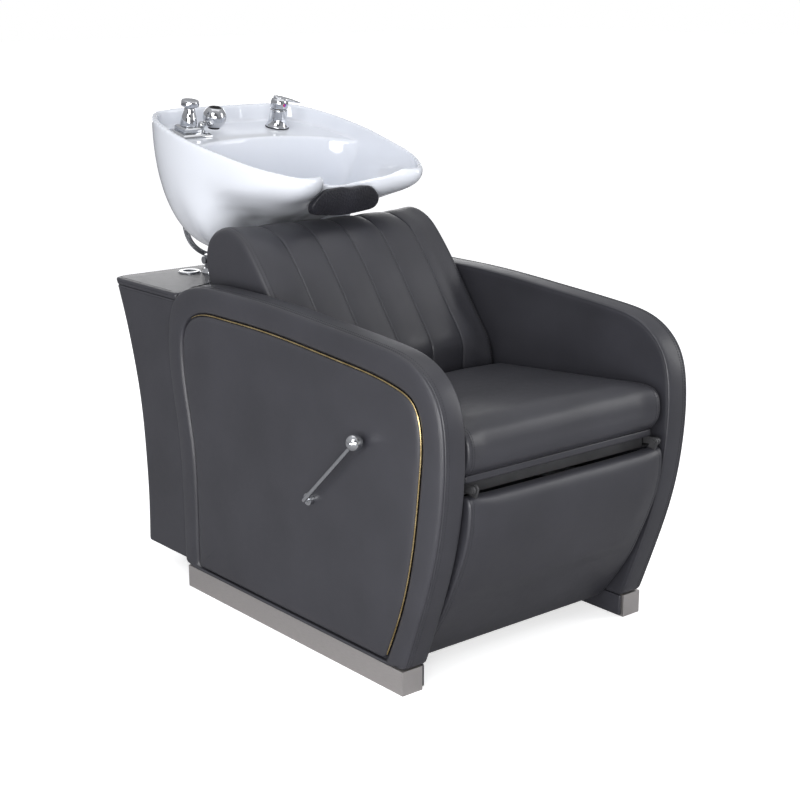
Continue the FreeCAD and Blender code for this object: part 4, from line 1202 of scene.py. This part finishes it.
def make_mixer():
    gasket = lathe("mixer_gasket_ring", mm(
        (0, 0.2), (28, 0.2), (28.6, 0.6), (28.6, 1.6), (28, 2), (0, 2)))
    stand_for(on_deck(gasket, *MIXER), "mixer_gasket")
    body = lathe("mixer_barrel", mm(
        (0, 2.1), (27.2, 2.1), (28, 2.6), (28, 4.4), (27.2, 5.6), (25.2, 8.2), (23.6, 11.6),
        (22.2, 17), (21.3, 23), (21, 30), (21, 42.6), (20.7, 43.5), (20, 43.9), (18.7, 44.1),
        (19, 45), (19, 45.7), (18.4, 46), (0, 46)), 64)
    stand_for(subdivided(on_deck(body, *MIXER)), "mixer_body")
    dome = lathe("mixer_handle_cap", mm(
        (0, 48), (20.6, 48), (21.3, 48.3), (21.5, 49), (21.5, 60), (21, 64.2), (19.4, 68.2),
        (16, 70.8), (11, 72.4), (5, 73), (0, 73.1)), 64)
    rings = []
    for x, half, low, high in mm(
            (-17.5, 4.2, 73.6, 76.8), (-14, 8.8, 71.8, 77.3), (-6, 13.2, 69, 77.2),
            (6, 16.5, 65.5, 75.6), (20, 17.8, 62.8, 72.4), (34, 17, 60.4, 68.6),
            (47, 14.2, 58, 64.2), (56, 9.6, 56.2, 60.6), (60.5, 4.5, 55.4, 57.4)):
        middle, rise = (low + high) / 2, (high - low) / 2
        ring = []
        for a in circle(32):
            reach = math.copysign(abs(math.cos(a)) ** 0.85, math.cos(a))
            ring.append((x, half * reach, middle + rise * math.sin(a)))
        rings.append(ring)
    handle = melted(join("mixer_handle_lens", [dome, loft("blade", rings)]), 0.0007, 14)
    stand_for(on_deck(handle, *MIXER), "mixer_handle")


SLAB_CORNER = 0.0012
STEM = (0.027, -0.004)


def slab(width, depth, low, high, chamfer, x, y):
    """Square plate with small round corners and a chamfer round its top."""
    rings = []
    for depth_in, z in ((0.0006, low), (0.0, low + 0.0006), (0.0, high - chamfer),
                        (0.0006, high - chamfer * 0.8), (chamfer * 0.92, high - 0.0003),
                        (chamfer + 0.0006, high)):
        w = width / 2 - depth_in - SLAB_CORNER
        d = depth / 2 - depth_in - SLAB_CORNER
        loop = []
        for cx, cy, start in ((w, d, 0), (-w, d, 90), (-w, -d, 180), (w, -d, 270)):
            for a in (math.radians(start + 30 * k) for k in range(4)):
                loop.append((x + cx + SLAB_CORNER * math.cos(a),
                             y + cy + SLAB_CORNER * math.sin(a), z))
        rings.append(loop)
    return loft("slab", rings)


def make_breaker():
    plate = slab(0.080, 0.068, 0.0002, 0.008, 0.0045, 0.0, -0.002)
    raised = slab(0.046, 0.046, 0.0075, 0.020, 0.003, -0.006, 0.0)
    stem = lathe("stem", mm(
        (0, 7), (9.5, 7), (9.5, 8.6), (8.8, 10.2), (6, 11.2), (5.6, 16), (0, 16)))
    stem.data.transform(Matrix.Translation((*STEM, 0)))
    knuckle = lathe("knuckle", mm(
        (0, -8.8), (4.5, -7.7), (7.7, -4.5), (9, 0), (8, 4), (6, 6.4), (0, 6.4)), 32)
    pivot = Vector((*STEM, 0.021))
    base = pivot + Vector((BREAKER[0] - HOLDER[0], BREAKER[1] - HOLDER[1], 0))
    aim = Vector((0, 0, HOLDER_HEIGHT)) - base
    turn = aim.to_track_quat("Z", "Y").to_matrix().to_4x4()
    knuckle.data.transform(Matrix.Translation(pivot) @ turn)
    group = join("breaker_base", [plate, raised, stem, knuckle])
    group.data.set_sharp_from_angle(angle=math.radians(40))
    stand_for(on_deck(group, *BREAKER), "breaker_plate")
    body = lathe("breaker_barrel", mm(
        (0, 20), (18.6, 20), (19.2, 20.6), (19.7, 24), (19.6, 27.5), (18.8, 33.5), (17.5, 40.5),
        (15.2, 47.5), (13.7, 52), (12.8, 57), (12.6, 66), (0, 66)), 64)
    cap = lathe("breaker_top", mm(
        (0, 66.1), (18.4, 66.1), (20, 66.7), (20.9, 68.2), (21.1, 73), (20.9, 77.4), (20.1, 79.6),
        (18.6, 80.9), (12, 81.6), (0, 82)), 64)
    for piece, node in ((body, "breaker_body"), (cap, "breaker_cap")):
        piece.data.transform(Matrix.Translation((-0.006, 0, 0)))
        stand_for(subdivided(on_deck(piece, *BREAKER)), node)
    return base, aim


def make_holder(base, aim):
    flat = 0.0225
    bore = 0.0142
    reach = math.sqrt(HOLDER_RADIUS ** 2 - flat ** 2)
    start = math.atan2(-flat, reach)
    ball = [(bore, -flat + 0.0004), (bore + 0.0006, -flat), (reach - 0.0005, -flat)]
    for k in range(25):
        a = start * (1 - 2 * k / 24)
        ball.append((HOLDER_RADIUS * math.cos(a), HOLDER_RADIUS * math.sin(a)))
    ball += [(reach - 0.0005, flat), (bore + 0.0006, flat), (bore, flat - 0.0004)]
    ball += [(bore, z) for z in (0.012, 0.0, -0.012)]
    sphere = lathe("ball", ball, 64, ring=True)
    sphere.data.transform(Matrix.Translation((0, 0, HOLDER_HEIGHT)))
    direction = aim.normalized()
    near = base + direction * 0.0070
    neck_line = [near + direction * d for d in (0.0, 0.0004, 0.004, 0.008, 0.012)]
    neck = loft("neck", tube_rings(neck_line, (0.0058, 0.0064, 0.0064, 0.0066, 0.0070), 32))
    holder = join("holder_ball_shell", [sphere, neck])
    holder.data.set_sharp_from_angle(angle=math.radians(55))
    stand_for(on_deck(holder, *HOLDER), "holder_ball")
    low, high = HOLDER_HEIGHT - 0.027, HOLDER_HEIGHT + 0.0235
    ring = [(0.0098, low), (0.0134, low), (0.0139, low + 0.0006), (0.0139, high - 0.0006),
            (0.0134, high), (0.0104, high), (0.0096, high - 0.0010),
            (0.0095, high - 0.004), (0.0095, low + 0.002)]
    insert = subdivided(lathe("holder_sleeve", ring, 64, ring=True))
    stand_for(on_deck(insert, *HOLDER), "holder_insert")


def make_hose():
    curve = bpy.data.curves.new("basin_hose", "CURVE")
    curve.dimensions = "3D"
    curve.bevel_depth = HOSE_DIAMETER / 2
    curve.bevel_resolution = 6
    curve.use_fill_caps = True
    line = curve.splines.new("NURBS")
    line.points.add(len(HOSE_ROUTE) - 1)
    for point, place in zip(line.points, HOSE_ROUTE):
        point.co = (*place, 1)
    line.order_u = 3
    line.use_endpoint_u = True
    line.resolution_u = 16
    hose = bpy.data.objects.new("basin_hose", curve)
    SCENE.collection.objects.link(hose)
    stand_for(hose, "braided_hose")


# --- lever ---
def make_lever():
    low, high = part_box("lever_ball")
    centre = (low + high) / 2
    radius = (high.x - low.x) / 2
    arc = [math.pi * k / 32 for k in range(1, 32)]
    profile = [(radius * math.sin(a), -radius * math.cos(a)) for a in arc]
    ball = lathe("lever_ball_knob", profile, 64)
    ball.data.transform(Matrix.Translation(centre))
    stand_for(ball, "lever_ball")


# --- CAD nodes that stay ---
def finish_cad_nodes():
    for name, node in frame["nodes"].items():
        if node.hide_render:
            continue
        node.data.materials.clear()
        node.data.materials.append(MATERIALS[SLOT_OF[name]])


# --- studio ---
# name, place, point it faces, size, power
LIGHTS = [
    ("key", (-2.6, -1.4, 2.6), (0, 0, 0.5), (1.6, 2.2), 38),
    ("top", (0.2, 0.3, 3.0), (0, 0, 0.5), (2.4, 1.6), 8),
    ("right", (2.8, -2.0, 1.8), (0, 0, 0.6), (1.2, 2.4), 30),
    ("front", (-2.4, -2.9, 0.9), (0, 0.2, 0.7), (2.2, 1.5), 96),
    ("low_left", (-3.0, -0.6, 0.35), (0, 0.4, 0.85), (1.6, 0.7), 26),
    ("rear", (1.7, 3.0, 1.2), (0, 0.5, 0.8), (2.6, 0.9), 18),
]


def area_light(name, place, target, size, power):
    data = bpy.data.lights.new(name, "AREA")
    data.shape = "RECTANGLE"
    data.size, data.size_y = size
    data.energy = power
    light = bpy.data.objects.new(name, data)
    light.location = place
    light.rotation_euler = (Vector(target) - Vector(place)).to_track_quat("-Z", "Y").to_euler()
    light.visible_camera = False
    SCENE.collection.objects.link(light)


def make_studio():
    build = bmesh.new()
    bmesh.ops.create_grid(build, x_segments=1, y_segments=1, size=30)
    bmesh.ops.translate(build, verts=build.verts, vec=(0, 0, -0.0005))
    floor = new_object("studio_floor", build)
    floor.data.materials.append(FLOOR)
    make_world()
    SCENE.view_settings.view_transform = "Standard"
    for light in LIGHTS:
        area_light(*light)


def make_world():
    """White behind the object; for the light on it, a grey room with a darker side in front."""
    world = bpy.data.worlds.new("studio")
    world.use_nodes = True
    tree = world.node_tree

    def greys(*stops):
        return [(at, (shade * 0.98, shade * 0.985, shade)) for at, shade in stops]

    place = add_node(tree, "ShaderNodeTexCoord").outputs["Generated"]
    parts = add_node(tree, "ShaderNodeSeparateXYZ")
    tree.links.new(place, parts.inputs["Vector"])
    height = add_ramp(tree, parts.outputs["Z"],
                      greys((0.0, 0.48), (0.3, 0.42), (0.62, 0.55), (1.0, 0.7)))
    ahead = add_node(tree, "ShaderNodeVectorMath", operation="DOT_PRODUCT")
    ahead.inputs[1].default_value = (-0.63, -0.76, 0.15)
    tree.links.new(place, ahead.inputs[0])
    side = add_ramp(tree, ahead.outputs["Value"],
                    greys((0.0, 1.0), (0.72, 1.0), (0.86, 0.4), (1.0, 0.3)))
    shade = add_node(tree, "ShaderNodeVectorMath", operation="MULTIPLY")
    tree.links.new(height, shade.inputs[0])
    tree.links.new(side, shade.inputs[1])
    room = tree.nodes["Background"]
    tree.links.new(shade.outputs["Vector"], room.inputs["Color"])
    backdrop = add_node(tree, "ShaderNodeBackground")
    backdrop.inputs["Color"].default_value = (1, 1, 1, 1)
    mix = add_node(tree, "ShaderNodeMixShader")
    rays = add_node(tree, "ShaderNodeLightPath")
    tree.links.new(rays.outputs["Is Camera Ray"], mix.inputs["Fac"])
    tree.links.new(room.outputs["Background"], mix.inputs[1])
    tree.links.new(backdrop.outputs["Background"], mix.inputs[2])
    tree.links.new(mix.outputs["Shader"], tree.nodes["World Output"].inputs["Surface"])
    SCENE.world = world


def main():
    make_camera()
    make_hose()
    make_bowl()
    make_mixer()
    make_holder(*make_breaker())
    make_lever()
    make_arms()
    make_wrapped_board("seat_board_cover", "seat_board", 0.003)
    make_wrapped_board("arm_skirt_covers", "arm_skirts", 0.002)
    make_seat()
    make_backrest()
    make_legrest()
    make_cover()
    finish_cad_nodes()
    make_studio()


main()
